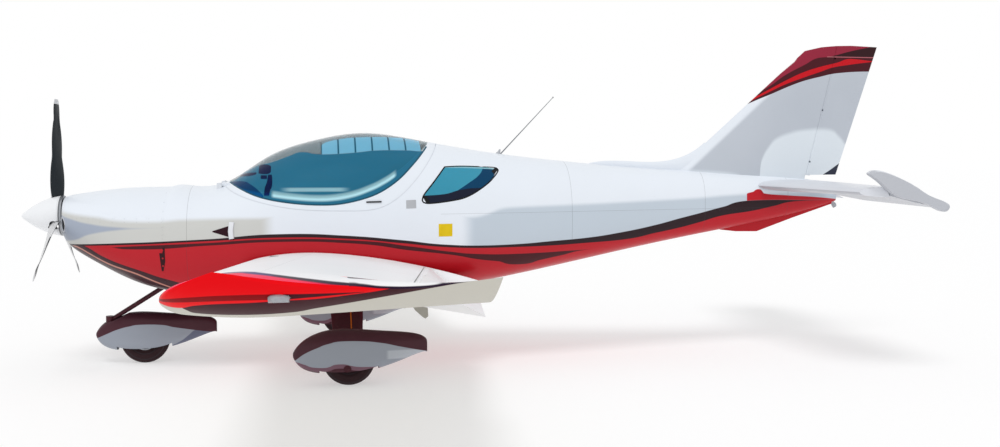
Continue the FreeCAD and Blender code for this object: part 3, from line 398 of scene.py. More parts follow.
def livery(s):
    """Fuselage colours by height above lines drawn along the side."""
    top = s.over(STRIPE_TOP)
    belly = s.mix(s.within(FLASH_LOW, FLASH_TOP), RED, MAROON)
    # The pale line along the dark keel is a painted highlight
    keel = s.mix(s.line(s.z, s.curve(KEEL_HIGHLIGHT), 0.006), "#3A1820", "#C98A7C")
    belly = s.mix(s.over(KEEL_TOP), keel, belly)
    colour = s.mix(s.over(STRIPE_LOW), belly, INK)
    # Painted shade on the lower white flank: warm grey in front and blue-grey behind, below a drawn line, with the
    # side kept white from x -1.52 to -0.1
    shade = s.mix(s.step(s.x, -0.8), "#CDCECB", "#C4CFDA")
    # Painted shadow: a blue-grey wedge on the nose between two drawn lines
    shade = s.mix(s.within(NOSE_SHADOW_LOW, NOSE_SHADOW_TOP, 0.02), shade, "#A6AFBF")
    bare = s.span(s.x, -1.52, -0.1, 0.12)
    flank = s.mix(s.most(s.over(SHADE_TOP, 0.04), bare), shade, WHITE)
    colour = s.mix(top, colour, flank)
    corner = s.both(s.step(s.x, 2.158), top, s.under(ROOT_TOP))
    return s.mix(corner, colour, RED)


# Rivets and panel seams outside, plain trim within
s = Shader("fuselage_paint", roughness=0.34, coat=0.04)
outward = s.calc("ADD", s.times(s.ny, s.calc("SIGN", s.y)), s.times(s.nz, s.calc("SIGN", s.less(s.z, 1.0))))
cabin = s.both(s.span(s.x, -2.2, 0.45, 0.01), s.below(outward, -0.02, 0.04))
outside = s.off(cabin)
colour = s.mix(cabin, livery(s), TRIM)
seams = s.most(s.line(s.x, -2.08), s.both(s.line(s.x, 0.7), s.step(s.z, 0.9)), s.line(s.x, 1.8),
    s.line(s.x, 2.52), s.both(s.line(s.z, 1.118, 0.0009), s.span(s.x, -0.3, 2.45)))
heads = s.most(s.dots(s.z, 0.036, s.x, -2.06), s.both(s.dots(s.z, 0.04, s.wave(s.x, 0.55)),
    s.span(s.x, 0.42, 2.7)), s.both(s.dots(s.x, 0.036, s.z, 1.106), s.span(s.x, -0.3, 2.45)))
fuselage_paint = s.finish(colour, s.both(seams, outside), s.both(heads, outside))

# The cowl: the same livery, with rows of larger fasteners along its rear edge and its split
s = Shader("cowl_paint", roughness=0.34, coat=0.04)
heads = s.most(s.dots(s.z, 0.062, s.x, -2.245, 0.0042), s.both(s.dots(s.x, 0.085, s.z, 1.1, 0.0042),
    s.step(s.side, 0.2)), s.both(s.dots(s.x, 0.085, s.z, 1.076, 0.0042), s.step(s.side, 0.2)))
cowl_paint = s.finish(livery(s), heads=heads)

s = Shader("canopy_paint", roughness=0.34, coat=0.04)
lining = s.below(s.times(s.ny, s.calc("SIGN", s.y)), -0.02, 0.04)
canopy_paint = s.finish(s.mix(lining, WHITE, TRIM))


# Wing: pale skins with rivet rows, red at the root, and a beige painted shade below. The tips' red field has
# an inner edge drawn in plan and a lower edge seen from the side
TIP_JOINT_Y = 4.03
TIP_PLAN = [(-1.83, 3.54), (-1.7, 3.62), (-1.6, 3.69), (-1.518, 3.797), (-1.392, 4.053), (-1.261, 4.227),
    (-1.137, 4.293), (-1.019, 4.321), (-0.95, 4.36), (-0.85, 4.4), (0.1, 4.6)]
TIP_RED = [(-1.83, 0.985), (-1.79, 0.992), (-1.75, 0.985), (-1.7, 0.984), (-1.652, 0.996), (-1.411, 1.012),
    (-1.287, 1.02), (-1.182, 1.025), (-1.058, 1.04), (-0.899, 1.065), (-0.8, 1.095), (0.1, 1.6)]


def wing_lines(s, front, rear, spars, rib, radius=0.0022):
    """Rivet rows along the spars and the ribs of a straight-tapered surface: front and rear are
    the edge's place at the root and its sweep per metre of span."""
    lead = s.calc("MULTIPLY_ADD", s.side, front[1], front[0])
    trail = s.calc("MULTIPLY_ADD", s.side, rear[1], rear[0])
    chord = s.less(trail, lead)
    spar_lines = [s.calc("MULTIPLY_ADD", chord, share, lead) for share in spars]
    rows = [s.dots(s.side, 0.032, s.x, place, radius) for place in spar_lines]
    rows.append(s.dots(s.x, 0.032, s.wave(s.side, rib), 0.0, radius))
    return s.most(*rows), lead, chord


s = Shader("wing_paint", roughness=0.34, coat=0.03)
rows, lead, chord = wing_lines(s, (-1.6897, -0.0319), (0.0505, -0.1261), (0.12, 0.28, 0.52, 0.72), 0.43)
laps = s.most(s.line(s.side, 1.62, 0.0009), s.line(s.side, 2.78, 0.0009),
    s.line(s.x, s.calc("MULTIPLY_ADD", chord, 0.3, lead), 0.0009))
above = s.step(s.nz, -0.12, 0.2)
# Painted shade: faces that look down take the beige
skins = s.mix(above, UNDERSIDE_SHADE, "#FAFAFC")
near_root = s.below(s.side, 0.6, 0.003)
skins = s.mix(s.both(near_root, above), skins, RED)
past = s.less(s.side, s.curve(TIP_PLAN))
skins = s.coats(skins, (s.both(s.step(past, 0.0, 0.003), s.over(TIP_RED)), BRIGHT_RED),
    (s.both(s.line(past, 0.0, 0.075), above, s.below(s.x, -1.4)), "#3C3870"))
wing_paint = s.finish(skins, laps, rows)

# Wing tip: a beige painted shade low down, a dark sweep over it, the red field with a dark band in it and a
# pink painted highlight on its upward faces, and a violet rim where the red meets the pale top
s = Shader("tip_paint", roughness=0.38)
s.set("Specular IOR Level", 0.04)
past = s.less(s.side, s.curve(TIP_PLAN))
top_edge = s.curve([(-1.82, 1.055), (-1.3, 1.06), (-1.137, 1.075), (-1.06, 1.084), (-1.0, 1.08),
    (-0.903, 1.071), (-0.814, 1.069), (-0.653, 1.084), (-0.522, 1.101), (-0.4, 1.112)])
dark_low = s.curve([(-1.82, 1.06), (-1.72, 1.005), (-1.68, 0.97), (-1.645, 0.953), (-1.475, 0.944),
    (-1.275, 0.953), (-1.183, 0.973), (-1.057, 0.998), (-0.879, 1.034), (-0.657, 1.077), (-0.522, 1.099),
    (-0.4, 1.112)])
colour = s.mix(s.step(s.z, dark_low, 0.003), UNDERSIDE_SHADE, "#401A22")
# Painted highlight: upward-facing red near the top turns pink
red = s.mix(s.both(s.step(s.nz, 0.45, 0.4), s.step(s.z, 1.045, 0.02)), BRIGHT_RED, "#FF0E52")
colour = s.mix(s.over(TIP_RED), colour, red)
band = s.both(s.within([(-1.82, 1.004), (-1.772, 1.007), (-1.621, 1.016), (-1.467, 1.022), (-1.359, 1.024),
    (-1.3, 1.025)], [(-1.82, 1.004), (-1.772, 1.02), (-1.617, 1.04), (-1.465, 1.047), (-1.359, 1.049),
    (-1.3, 1.05)], 0.004), s.below(s.x, -1.33))
colour = s.mix(band, colour, DARK_RED)
wedge = s.both(s.within([(-1.3, 1.024), (-1.274, 1.026), (-1.161, 1.036), (-0.995, 1.052)],
    [(-1.3, 1.049), (-1.273, 1.049), (-1.161, 1.05), (-0.995, 1.054)], 0.004), s.span(s.x, -1.3, -0.99))
colour = s.mix(wedge, colour, "#45151E")
inner = s.below(past, 0.0, 0.003)
root_end = s.both(s.step(s.nz, 0.5, 0.1), s.below(s.side, TIP_JOINT_Y))
colour = s.mix(s.both(inner, s.most(root_end, s.step(s.z, top_edge, 0.003))), colour, "#FAFAFC")
spread = s.calc("DIVIDE", past, s.curve([(-1.6, 0.095), (-1.39, 0.062), (-1.26, 0.04), (-1.137, 0.026),
    (-1.0, 0.014)]))
rim = s.most(s.both(s.line(spread, 0.0, 1.0), s.step(s.nz, 0.1), s.below(s.x, -1.045)),
    s.both(s.line(s.z, top_edge, 0.005), s.step(s.x, -1.05), s.step(s.side, TIP_JOINT_Y)))
colour = s.mix(rim, colour, s.mix(s.step(s.x, -1.35, 0.1), "#3C3870", "#2A1A30"))
tip_paint = s.finish(colour, s.line(s.side, 3.945, 0.001), s.dots(s.x, 0.05, s.side, 3.957))

# Tail surfaces: pale, with a greyer painted shade on faces that look down and on the side faces of the elevator's
# outer ends
s = Shader("tail_paint", roughness=0.34, coat=0.03)
rows, _, _ = wing_lines(s, (2.24, 0.18), (3.15, 0.0), (0.18, 0.46), 0.36, 0.002)
under = s.below(s.nz, -0.15, 0.2)
horn = s.both(s.step(s.side, 1.398), s.step(s.calc("ABSOLUTE", s.ny), 0.7, 0.2))
tail_paint = s.finish(s.mix(s.most(under, horn), "#DEE1E8", "#BEC1C8"), heads=rows)

# Fin: grey with a drifting tone as painted shade, lighter below a drawn line, with a pale painted highlight
# along its leading edge; dark, red and claret bands that sweep back to its top, and a dark corner low at its rear
s = Shader("fin_paint", roughness=0.34, coat=0.03)
FIN_LOW = [(2.1, 1.88), (2.229, 1.945), (2.291, 1.973), (2.39, 2.013), (2.557, 2.083), (2.676, 2.124),
    (2.816, 2.158), (2.904, 2.178), (2.993, 2.189), (3.111, 2.198), (3.3, 2.203)]
RED_FROM = [(2.1, 1.888), (2.294, 1.99), (2.391, 2.037), (2.508, 2.091), (2.676, 2.152), (2.815, 2.198),
    (2.903, 2.228), (3.045, 2.252), (3.3, 2.284)]
RED_TO = [(2.1, 1.893), (2.297, 2.006), (2.392, 2.058), (2.508, 2.119), (2.676, 2.195), (2.814, 2.237),
    (2.955, 2.271), (3.044, 2.299), (3.12, 2.298), (3.209, 2.29), (3.3, 2.284)]
CLARET = [(2.1, 1.897), (2.291, 2.022), (2.395, 2.083), (2.51, 2.164), (2.678, 2.252), (2.779, 2.303),
    (2.866, 2.313), (2.944, 2.33), (3.042, 2.356), (3.205, 2.391), (3.3, 2.41)]
height = s.calc("MULTIPLY_ADD", s.below(s.x, 1.95), -3.0, s.z)
# Painted shade: the fin's grey, with a drifting tone
colour = s.mix(s.noise(1.6), "#B9C0CA", "#C6CCD5")
pale = s.curve([(1.9, 1.4), (2.12, 1.37), (2.2, 1.3), (2.29, 1.32), (2.307, 1.466), (2.378, 1.602),
    (2.445, 1.666), (2.543, 1.703), (2.671, 1.73), (2.904, 1.731), (2.978, 1.685), (3.05, 1.611),
    (3.3, 1.4)])
colour = s.mix(s.step(s.z, pale, 0.05), "#E2EAF1", colour)
# Painted highlight: a pale strip along the leading edge
lead = s.calc("MULTIPLY_ADD", s.less(s.x, 1.995), 0.91, 1.66)
colour = s.coats(colour, (s.step(s.z, lead, 0.05), "#E6ECF4"),
    (s.step(height, s.curve(FIN_LOW), 0.003), "#460C18"), (s.span(height, s.curve(RED_FROM),
    s.curve(RED_TO), 0.003), "#C80B1B"), (s.both(s.step(s.x, 2.87), s.step(s.z, 2.316, 0.003)), "#2E0A11"),
    (s.step(height, s.curve(CLARET), 0.003), "#93243B"), (s.both(s.line(s.z, 2.314, 0.003),
    s.step(s.x, 2.86)), "#B86A72"))
low_rear = s.under([(2.6, 1.25), (2.7, 1.3), (2.766, 1.334), (2.86, 1.378), (2.967, 1.445), (3.1, 1.54)])
colour = s.mix(s.both(low_rear, s.step(s.x, 2.7)), colour, "#2F3344")
ribs = s.both(s.dots(s.x, 0.034, s.wave(s.z, 0.27), 0.0, 0.002), s.step(s.z, 1.5))
fin_paint = s.finish(colour, heads=ribs)

s = Shader("belly_fin_paint", roughness=0.34, coat=0.03)
belly_fin_paint = s.finish(s.mix(s.over(STRIPE_LOW, 0.004), RED, INK))

# Spats: a dark maroon shell, red darkened as painted shade, with one grey field along each side
s = Shader("spat_paint", roughness=0.36, coat=0.03)
field_top = s.curve([(-2.82, 0.18), (-2.782, 0.196), (-2.713, 0.228), (-2.631, 0.262), (-2.55, 0.283),
    (-2.471, 0.294), (-2.353, 0.291), (-2.236, 0.268), (-2.118, 0.246), (-1.93, 0.212), (-1.65, 0.15),
    (-1.37, 0.15), (-1.334, 0.177), (-1.267, 0.228), (-1.184, 0.267), (-1.102, 0.296), (-1.019, 0.309),
    (-0.895, 0.306), (-0.77, 0.291), (-0.644, 0.262), (-0.44, 0.214)])
field_low = s.curve([(-2.82, 0.19), (-2.782, 0.17), (-2.722, 0.123), (-2.6, 0.085), (-2.3, 0.085),
    (-2.1, 0.1), (-1.93, 0.1), (-1.65, 0.15), (-1.37, 0.172), (-1.33, 0.168), (-1.268, 0.153),
    (-1.161, 0.133), (-1.104, 0.141), (-1.038, 0.157), (-0.972, 0.146), (-0.905, 0.134), (-0.8, 0.128),
    (-0.7, 0.1), (-0.44, 0.08)])
tone = s.mix(s.noise(1.4, 2.0, (1.0, 1.0, 3.0)), "#969CA8", "#A2A8B3")
tail_light = s.both(s.step(s.x, -0.72, 0.03), s.span(s.z, 0.178, 0.236, 0.01))
tone = s.mix(tail_light, tone, "#BDC3CC")
tail_dark = s.both(s.span(s.x, -2.42, -1.7), s.under([(-2.42, 0.11), (-2.3, 0.118), (-2.192, 0.16),
    (-2.127, 0.209), (-2.09, 0.239), (-1.9, 0.3)], 0.006))
tone = s.mix(tail_dark, tone, "#6A6F84")
lower = s.mix(s.step(s.z, s.less(field_low, 0.03)), "#4A222E", "#7A5A68")
# The shell's dark maroon is red darkened as painted shade
shell = s.mix(s.step(s.z, field_top, 0.003), lower, "#4A2630")
field = s.span(s.z, field_low, field_top)
spat_paint = s.finish(s.mix(field, shell, tone))

# Spinner and blades: the axis's height and the back plate's station
SHAFT_Z, BACK_PLATE_X = 1.098, -3.022
s = Shader("spinner_paint", roughness=0.28, coat=0.15)
spinner_paint = s.finish(s.mix(s.step(s.x, BACK_PLATE_X, 0.001), "#EEF0F3", "#6E7074"),
    s.line(s.x, -3.03, 0.0008), s.dots(s.calc("ARCTAN2", s.y, s.less(s.z, SHAFT_Z)), math.pi / 6, s.x,
    BACK_PLATE_X, 0.004), grime=0.03)

s = Shader("blade_skin", roughness=0.36)
front = s.step(s.nx, 0.05, 0.1)
reach = s.reach(s.y, s.less(s.z, SHAFT_Z))
colour = s.mix(front, "#D9DADC", "#23292D")
colour = s.mix(s.step(reach, 0.815, 0.002), colour, "#DDDFE2")
blade_skin = s.finish(colour, peel=0.04, grime=0.12, fine=420.0)


def plain(name, dark, light, roughness, metallic=0.0, scale=9.0, fine=300.0, peel=0.12, stretch=None,
        coat=0.0):
    """A finish whose tone drifts between two colours, over a fine-grained bump."""
    s = Shader(name, roughness, metallic, coat)
    return s.finish(s.mix(s.noise(scale, 4.0, stretch), dark, light), peel=peel, fine=fine, grime=0.1)


alloy = plain("alloy", "#8C9095", "#B9BCC1", 0.34, 0.9, 40.0, 600.0, 0.06)
steel = plain("steel", "#6D7075", "#A4A7AB", 0.3, 0.95, 26.0, 500.0, 0.05, (1.0, 1.0, 6.0))
brushed = plain("brushed_plate", "#7F8388", "#A9ADB2", 0.42, 0.9, 18.0, 700.0, 0.1, (0.2, 6.0, 6.0))
casting = plain("engine_casting", "#2A2C2F", "#4B4E52", 0.62, 0.55, 14.0, 160.0, 0.5)
# Dark maroon legs and axle caps: red darkened as painted shade
leg_paint = plain("leg_paint", "#3A1822", "#52212C", 0.4, 0.0, 5.0, 260.0, 0.06, coat=0.03)
hinge_white = plain("hinge_white", "#DCE1E8", "#EEF1F6", 0.4, coat=0.03)
trim = plain("cabin_trim", "#2E3034", "#3D4045", 0.72, 0.0, 6.0, 210.0, 0.7)
dark_plastic = plain("dark_plastic", "#141517", "#1F2124", 0.55, 0.0, 8.0, 380.0, 0.4)
seal = plain("seal_rubber", "#101113", "#1B1C1E", 0.68, 0.0, 12.0, 240.0, 0.3)
carpet = plain("carpet", "#26272B", "#3A3B41", 0.95, 0.0, 60.0, 900.0, 1.6)
label_grey = plain("label_grey", "#A9ACB2", "#C3C6CB", 0.45, 0.0, 14.0, 300.0, 0.1)
label_yellow = plain("label_yellow", "#D9B70C", "#EACB1E", 0.42, 0.0, 14.0, 300.0, 0.1)
line_orange = plain("hose_orange", "#C45A12", "#E07A22", 0.5, 0.0, 30.0, 300.0, 0.2)

s = Shader("tyre_rubber", roughness=0.78)
grooves = s.both(s.below(s.wave(s.side, 0.0205), 0.0016, 0.001), s.below(s.z, 0.6, 0.01))
tyre_rubber = s.finish(s.mix(s.noise(7.0, 4.0), "#2A1A1D", "#3A262A"), grooves, peel=0.5, grime=0.3,
    fine=180.0)

# Cabin cloths; each seat's middle is SEAT_Y from the centre line
SEAT_Y = 0.262
s = Shader("seat_cloth", roughness=0.86)
s.set("Sheen Weight", 0.35)
s.set("Sheen Roughness", 0.5)
thread = s.most(s.below(s.wave(s.y, 0.0042), 0.0009, 0.001),
    s.below(s.wave(s.calc("ADD", s.x, s.z), 0.0042), 0.0009, 0.001))
colour = s.mix(s.noise(5.0, 4.0), "#2A2D34", "#3E424B")
colour = s.mix(s.below(s.calc("ABSOLUTE", s.less(s.side, SEAT_Y)), 0.135), colour,
    s.mix(s.noise(9.0, 3.0), "#5B606B", "#737986"))
seat_cloth = s.finish(colour, s.times(thread, 0.4), peel=0.6, grime=0.15, fine=520.0)

s = Shader("webbing", roughness=0.8)
ribs = s.below(s.wave(s.calc("ADD", s.z, s.times(s.x, 0.8)), 0.0034), 0.0007, 0.0008)
webbing = s.finish(s.mix(s.noise(20.0, 3.0), "#24262C", "#3B3E47"), s.times(ribs, 0.5), peel=0.3, grime=0.1,
    fine=700.0)


def glazing(name):
    """Tinted acrylic with faint wipe marks."""
    s = Shader(name)
    s.set("IOR", 1.1)
    s.set("Specular IOR Level", 0.3)
    s.set("Coat Weight", 0.12)
    s.set("Coat Roughness", 0.03)
    s.set("Roughness", s.scale(s.noise(34.0, 3.0), 0.02, 0.06))
    return s


# Canopy: blue-green glass; along its top a grey band that is a painted reflection, holding two pale panes that
# paint the blind and its folds as if lit; two pale lines that are painted highlights; and dark shapes low at its front
s = glazing("canopy_tint")
band = s.over([(-1.86, 1.34), (-1.818, 1.342), (-1.7, 1.415), (-1.591, 1.466), (-1.508, 1.486),
    (-1.365, 1.537), (-1.285, 1.561), (-1.174, 1.547), (-1.015, 1.55), (-0.887, 1.56), (-0.758, 1.573),
    (-0.513, 1.573), (-0.414, 1.568), (-0.33, 1.64)], 0.006)
rim = s.curve([(-1.86, 1.36), (-1.65, 1.29), (-1.502, 1.27), (-1.347, 1.25), (-1.192, 1.239),
    (-1.083, 1.241), (-0.958, 1.259), (-0.8, 1.31), (-0.704, 1.356), (-0.623, 1.407), (-0.5, 1.5),
    (-0.3, 1.68)])
# Painted highlights: two pale lines low on the glass
painted_highlights = s.most(s.both(s.line(s.z, rim, 0.021), s.span(s.x, -1.49, -0.62, 0.03)),
    s.both(s.line(s.z, 1.298, 0.013), s.span(s.x, -1.4, -0.98, 0.1)))
tint = s.mix(s.noise(1.7, 2.0, (0.6, 1.0, 2.6)), "#2E84A6", "#3A90B0")
tint = s.mix(s.step(s.z, rim, 0.01), "#276C8A", tint)
panes = s.both(band, s.span(s.x, -1.145, -0.42), s.under([(-1.145, 1.61), (-1.01, 1.655), (-0.88, 1.668),
    (-0.65, 1.67), (-0.42, 1.64)], 0.004))
wedge = s.both(s.under([(-1.86, 1.32), (-1.8, 1.345), (-1.749, 1.352), (-1.687, 1.352), (-1.649, 1.336),
    (-1.612, 1.313), (-1.583, 1.289), (-1.55, 1.255)], 0.006), s.below(s.x, -1.552))
bar = s.both(s.within([(-1.8, 1.352), (-1.776, 1.364), (-1.716, 1.385), (-1.654, 1.391), (-1.6, 1.408)],
    [(-1.8, 1.356), (-1.74, 1.393), (-1.673, 1.41), (-1.6, 1.417)], 0.006), s.span(s.x, -1.795, -1.608))
knob = s.both(s.within([(-1.6, 1.42), (-1.588, 1.41), (-1.551, 1.405), (-1.516, 1.41), (-1.5, 1.436)],
    [(-1.6, 1.45), (-1.588, 1.463), (-1.564, 1.472), (-1.519, 1.469), (-1.5, 1.446)], 0.006),
    s.span(s.x, -1.592, -1.502))
neck = s.both(s.span(s.z, 1.372, 1.398, 0.01), s.span(s.x, -1.574, -1.528, 0.01))
post = s.both(s.span(s.x, s.curve([(1.24, -1.548), (1.3, -1.545), (1.351, -1.529), (1.42, -1.52)], s.z),
    s.curve([(1.24, -1.515), (1.289, -1.505), (1.338, -1.491), (1.385, -1.492), (1.42, -1.516)], s.z)),
    s.span(s.z, 1.256, 1.402, 0.012))
folds = s.line(s.wave(s.calc("ADD", s.x, 1.206), 0.1225), 0.0, 0.006)
# The grey band along the top is a painted reflection; the panes in it paint the blind as if lit
tint = s.coats(tint, (wedge, "#004C82"), (s.most(bar, knob, neck, post), "#002058"),
    (band, s.mix(panes, "#AEBBC0", s.mix(folds, "#86CCE8", "#1F6680"))))
s.set("Base Color", s.mix(painted_highlights, tint, "#B4E2EC"))
s.set("Transmission Weight", s.times(s.less(s.scale(band, 0.5, 0.82), s.scale(panes, 0.0, 0.45)),
    s.step(s.z, rim, 0.02)))
canopy_tint = s.material

s = glazing("window_tint")
s.set("Transmission Weight", 0.3)
tint = s.mix(s.noise(2.4), "#3FA2BF", "#52B0CB")
aft = s.step(s.x, s.curve([(1.15, -0.38), (1.293, -0.158), (1.335, -0.089), (1.397, 0.001), (1.44, 0.032),
    (1.5, 0.06)], s.z), 0.006)
tint = s.mix(aft, tint, "#0E4A72")
sill = s.over([(-0.45, 1.25), (-0.29, 1.258), (-0.158, 1.287), (-0.05, 1.3), (0.2, 1.3)], 0.005)
tint = s.mix(sill, "#23283C", tint)
# Painted highlight: a pale strip along the window's top edge
s.set("Base Color", s.mix(s.over([(-0.3, 1.448), (-0.094, 1.444), (0.2, 1.425)], 0.004), tint, "#9AD2E0"))
window_tint = s.material

s = Shader("clear_lens", roughness=0.08)
s.set("Transmission Weight", 0.5)
ribs = s.below(s.wave(s.x, 0.006), 0.0012, 0.001)
clear_lens = s.finish(s.mix(s.noise(60.0), "#B9BDC6", "#E6E9EE"), s.times(ribs, 0.15), grime=0.02)


# What each CAD node wears
dress(fuselage_paint, "fuselage_shell")
dress(cowl_paint, "cowl_upper", "cowl_lower")
dress(canopy_paint, "canopy_frame")
dress(hinge_white, "canopy_hinges")
dress(wing_paint, "wing_left", "wing_right", "flap_left", "flap_right", "aileron_left", "aileron_right")
dress(tip_paint, "wing_tips")
dress(tail_paint, "stabiliser", "elevator", "elevator_tips")
dress(fin_paint, "fin", "rudder")
dress(belly_fin_paint, "ventral_fin")
dress(spat_paint, "main_spats", "nose_spat")
dress(spinner_paint, "spinner")
dress(blade_skin, "propeller_blades")
dress(canopy_tint, "canopy_glass")
dress(window_tint, "rear_windows")
dress(casting, "engine_block")
dress(alloy, "propeller_hub", "main_axles", "main_rim_left", "main_rim_right", "nose_rim", "nose_fork")
dress(steel, "brake_disc_left", "brake_disc_right", "tie_down_rings", "antenna")
dress(brushed, "firewall")
dress(leg_paint, "main_gear_legs", "nose_leg")
dress(tyre_rubber, "main_tyre_left", "main_tyre_right", "nose_tyre")
dress(trim, "instrument_panel", "centre_console", "seat_bases", "baggage_bulkhead")
dress(carpet, "cabin_floor")
dress(dark_plastic, "control_sticks")
dress(clear_lens, "position_lamps")


# Finding places on the CAD surfaces
trees = {}


def tree_of(name):
    if name not in trees:
        mesh = nodes[name].data
        trees[name] = BVHTree.FromPolygons([v.co for v in mesh.vertices],
            [list(p.vertices) for p in mesh.polygons])
    return trees[name]


def meet(start, way, *names):
    """Where a ray first meets these CAD nodes: the point, and the normal turned back along the ray."""
    start, way = Vector(start), Vector(way).normalized()
    best = None
    for name in names:
        point, normal, _, distance = tree_of(name).ray_cast(start, way)
        if point is not None and (best is None or distance < best[0]):
            best = (distance, point, normal if normal.dot(way) < 0 else -normal)
    if best is None:
        raise RuntimeError("nothing met from %s" % (tuple(start),))
    return best[1], best[2]


def trace(find, spots):
    """The points and normals that find gives for these spots, without the spots that meet nothing."""
    line, normals = [], []
    for spot in spots:
        try:
            point, normal = find(*spot)
        except RuntimeError:
            continue
        line.append(point)
        normals.append(normal)
    return line, normals


def circle(at, turn, radius, steps, lift=0.0):
    """Points round a circle that stands on the turned Z axis, lift above the middle."""
    angles = [2 * math.pi * i / steps for i in range(steps)]
    return [Vector(at) + turn @ Vector((radius * math.cos(a), radius * math.sin(a), lift)) for a in angles]


class Heap:
    """Collects several small forms into one piece."""

    def __init__(self):
        self.points, self.faces = [], []

    def grid(self, rows, closed=False, caps=False):
        """Quads over equal rows of points; closed joins each row's ends."""
        first, wide = len(self.points), len(rows[0])
        for row in rows:
            self.points += [Vector(p) for p in row]
        for i in range(len(rows) - 1):
            for j in range(wide if closed else wide - 1):
                k = (j + 1) % wide
                a, b = first + i * wide, first + (i + 1) * wide
                self.faces.append((a + j, a + k, b + k, b + j))
        if caps:
            last = first + (len(rows) - 1) * wide
            self.faces.append(tuple(first + j for j in reversed(range(wide))))
            self.faces.append(tuple(last + j for j in range(wide)))

    def ring_rows(self, rows):
        self.grid(rows, closed=True, caps=True)

    def lathe(self, at, way, profile, steps=32):
        """A turned form: profile pairs are (distance along the way, radius)."""
        turn = Vector(way).normalized().to_track_quat("Z", "Y")
        self.ring_rows([circle(at, turn, radius, steps, along) for along, radius in profile])

    def tube(self, points, radius, steps=12):
        points = [Vector(p) for p in points]
        rows = []
        for i, point in enumerate(points):
            way = (points[min(i + 1, len(points) - 1)] - points[max(i - 1, 0)]).normalized()
            rows.append(circle(point, way.to_track_quat("Z", "Y"), radius, steps))
        self.ring_rows(rows)

    def strip(self, points, normals, width, thick, sink=0.0006):
        """A flat strip along a line on a surface, standing thick above it, with eased edges."""
        rows = []
        half = width / 2
        section = ((-half, -sink), (-half, thick * 0.6), (-half * 0.8, thick), (half * 0.8, thick),
            (half, thick * 0.6), (half, -sink))
        for i, point in enumerate(points):
            way = (points[min(i + 1, len(points) - 1)] - points[max(i - 1, 0)]).normalized()
            normal = normals[i].normalized()
            across = way.cross(normal).normalized()
            rows.append([point + across * a + normal * n for a, n in section])
        self.ring_rows(rows)

    def plate(self, corners, thick, find, steps=4):
        """A thin plate laid over a surface: four corners on the find plane, met by find(a, b)."""
        near, far, far_end, near_end = (Vector(c) for c in corners)
        top, low = [], []
        for i in range(steps + 1):
            start, end = near.lerp(far, i / steps), near_end.lerp(far_end, i / steps)
            met = [find(*start.lerp(end, j / steps)) for j in range(steps + 1)]
            top.append([point + normal * thick for point, normal in met])
            low.append([point - normal * 0.0006 for point, normal in met])
        self.grid(top)
        self.grid(low)
        edge = [(0, j) for j in range(steps)] + [(i, steps) for i in range(steps)]
        edge += [(steps, j) for j in range(steps, 0, -1)] + [(i, 0) for i in range(steps, 0, -1)]
        self.grid([[rows[i][j] for i, j in edge] for rows in (top, low)], closed=True)

    def ball(self, at, radii, steps=12):
        """A round or long ball, open by one small flat at each pole."""
        at, radii, level = Vector(at), Vector(radii), Matrix.Identity(3)
        bands = [math.pi * i / steps for i in range(1, steps)]
        rows = [circle((0, 0, 0), level, math.sin(a), 2 * steps, math.cos(a)) for a in bands]
        self.ring_rows([[at + radii * p for p in row] for row in rows])

    def head(self, at, normal, radius, high):
        """A domed fastener head seated on a surface."""
        self.lathe(at, normal, [(-0.0004, radius), (high * 0.5, radius * 0.92), (high * 0.9, radius * 0.55),
            (high, radius * 0.12)], 10)

    def block(self, low, high, ease=0.003):
        """A box with eased edges."""
        low, high = Vector(low), Vector(high)
        rows = []
        for z, inset in ((low.z, ease), (low.z + ease, 0.0), (high.z - ease, 0.0), (high.z, ease)):
            ring = []
            for x, y, dx, dy in ((low.x, low.y, 1, 1), (high.x, low.y, -1, 1), (high.x, high.y, -1, -1),
                    (low.x, high.y, 1, -1)):
                a = (x + dx * (inset + ease), y + dy * inset, z)
                b = (x + dx * inset, y + dy * (inset + ease), z)
                ring += [b, a] if dx * dy > 0 else [a, b]
            rows.append(ring)
        self.ring_rows(rows)

    def done(self, name, material, slot, body="airframe", stands_for=()):
        """Makes the piece: one mesh, smooth but for its sharp edges, riding on the body."""
        mesh = bpy.data.meshes.new(name)
        mesh.from_pydata([tuple(p) for p in self.points], [], self.faces)
        tidy = bmesh.new()
        tidy.from_mesh(mesh)
        bmesh.ops.remove_doubles(tidy, verts=tidy.verts, dist=1e-6)
        bmesh.ops.recalc_face_normals(tidy, faces=tidy.faces)
        tidy.to_mesh(mesh)
        tidy.free()
        mesh.materials.append(material)
        obj = bpy.data.objects.new(name, mesh)
        scene.collection.objects.link(obj)
        for polygon in mesh.polygons:
            polygon.use_smooth = True
        mesh.set_sharp_from_angle(angle=math.radians(38))
        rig.ride(obj, body)
        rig.slot(obj, slot)
        if stands_for:
            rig.replaces(obj, *stands_for)
        return obj


def smooth_line(points, count):
    """Even points along a smooth open line through the given ones."""
    points = [Vector(p) for p in points]
    out = []
    last = len(points) - 1
    for i in range(last):
        a, b, c, d = points[max(i - 1, 0)], points[i], points[i + 1], points[min(i + 2, last)]
        for j in range(count):
            t = j / count
            out.append(0.5 * ((2 * b) + (c - a) * t + (2 * a - 5 * b + 4 * c - d) * t * t
                + (3 * b - a - 3 * c + d) * t ** 3))
    return out + [points[-1]]


SIDES = (("left", -1), ("right", 1))
HULL = ("fuselage_shell", "cowl_upper", "cowl_lower", "canopy_frame", "canopy_glass", "rear_windows")


def flank(side, *names):
    """Finds the outer skin at a station x and a height z from that side."""
    return lambda x, z: meet((x, side * 3.0, z), (0, -side, 0), *(names or HULL))


def from_above(*names):
    return lambda x, y: meet((x, y, 3.0), (0, 0, -1), *names)


# Seats: rounded foam pads swelled as cloth, with sewn channels, in place of the plain solids
SEAT_FOOT = Vector((-0.64, 0, 0.76))
LEAN = math.radians(22)
SWELL_STEPS, SWELL_LIMIT = 20, 0.014


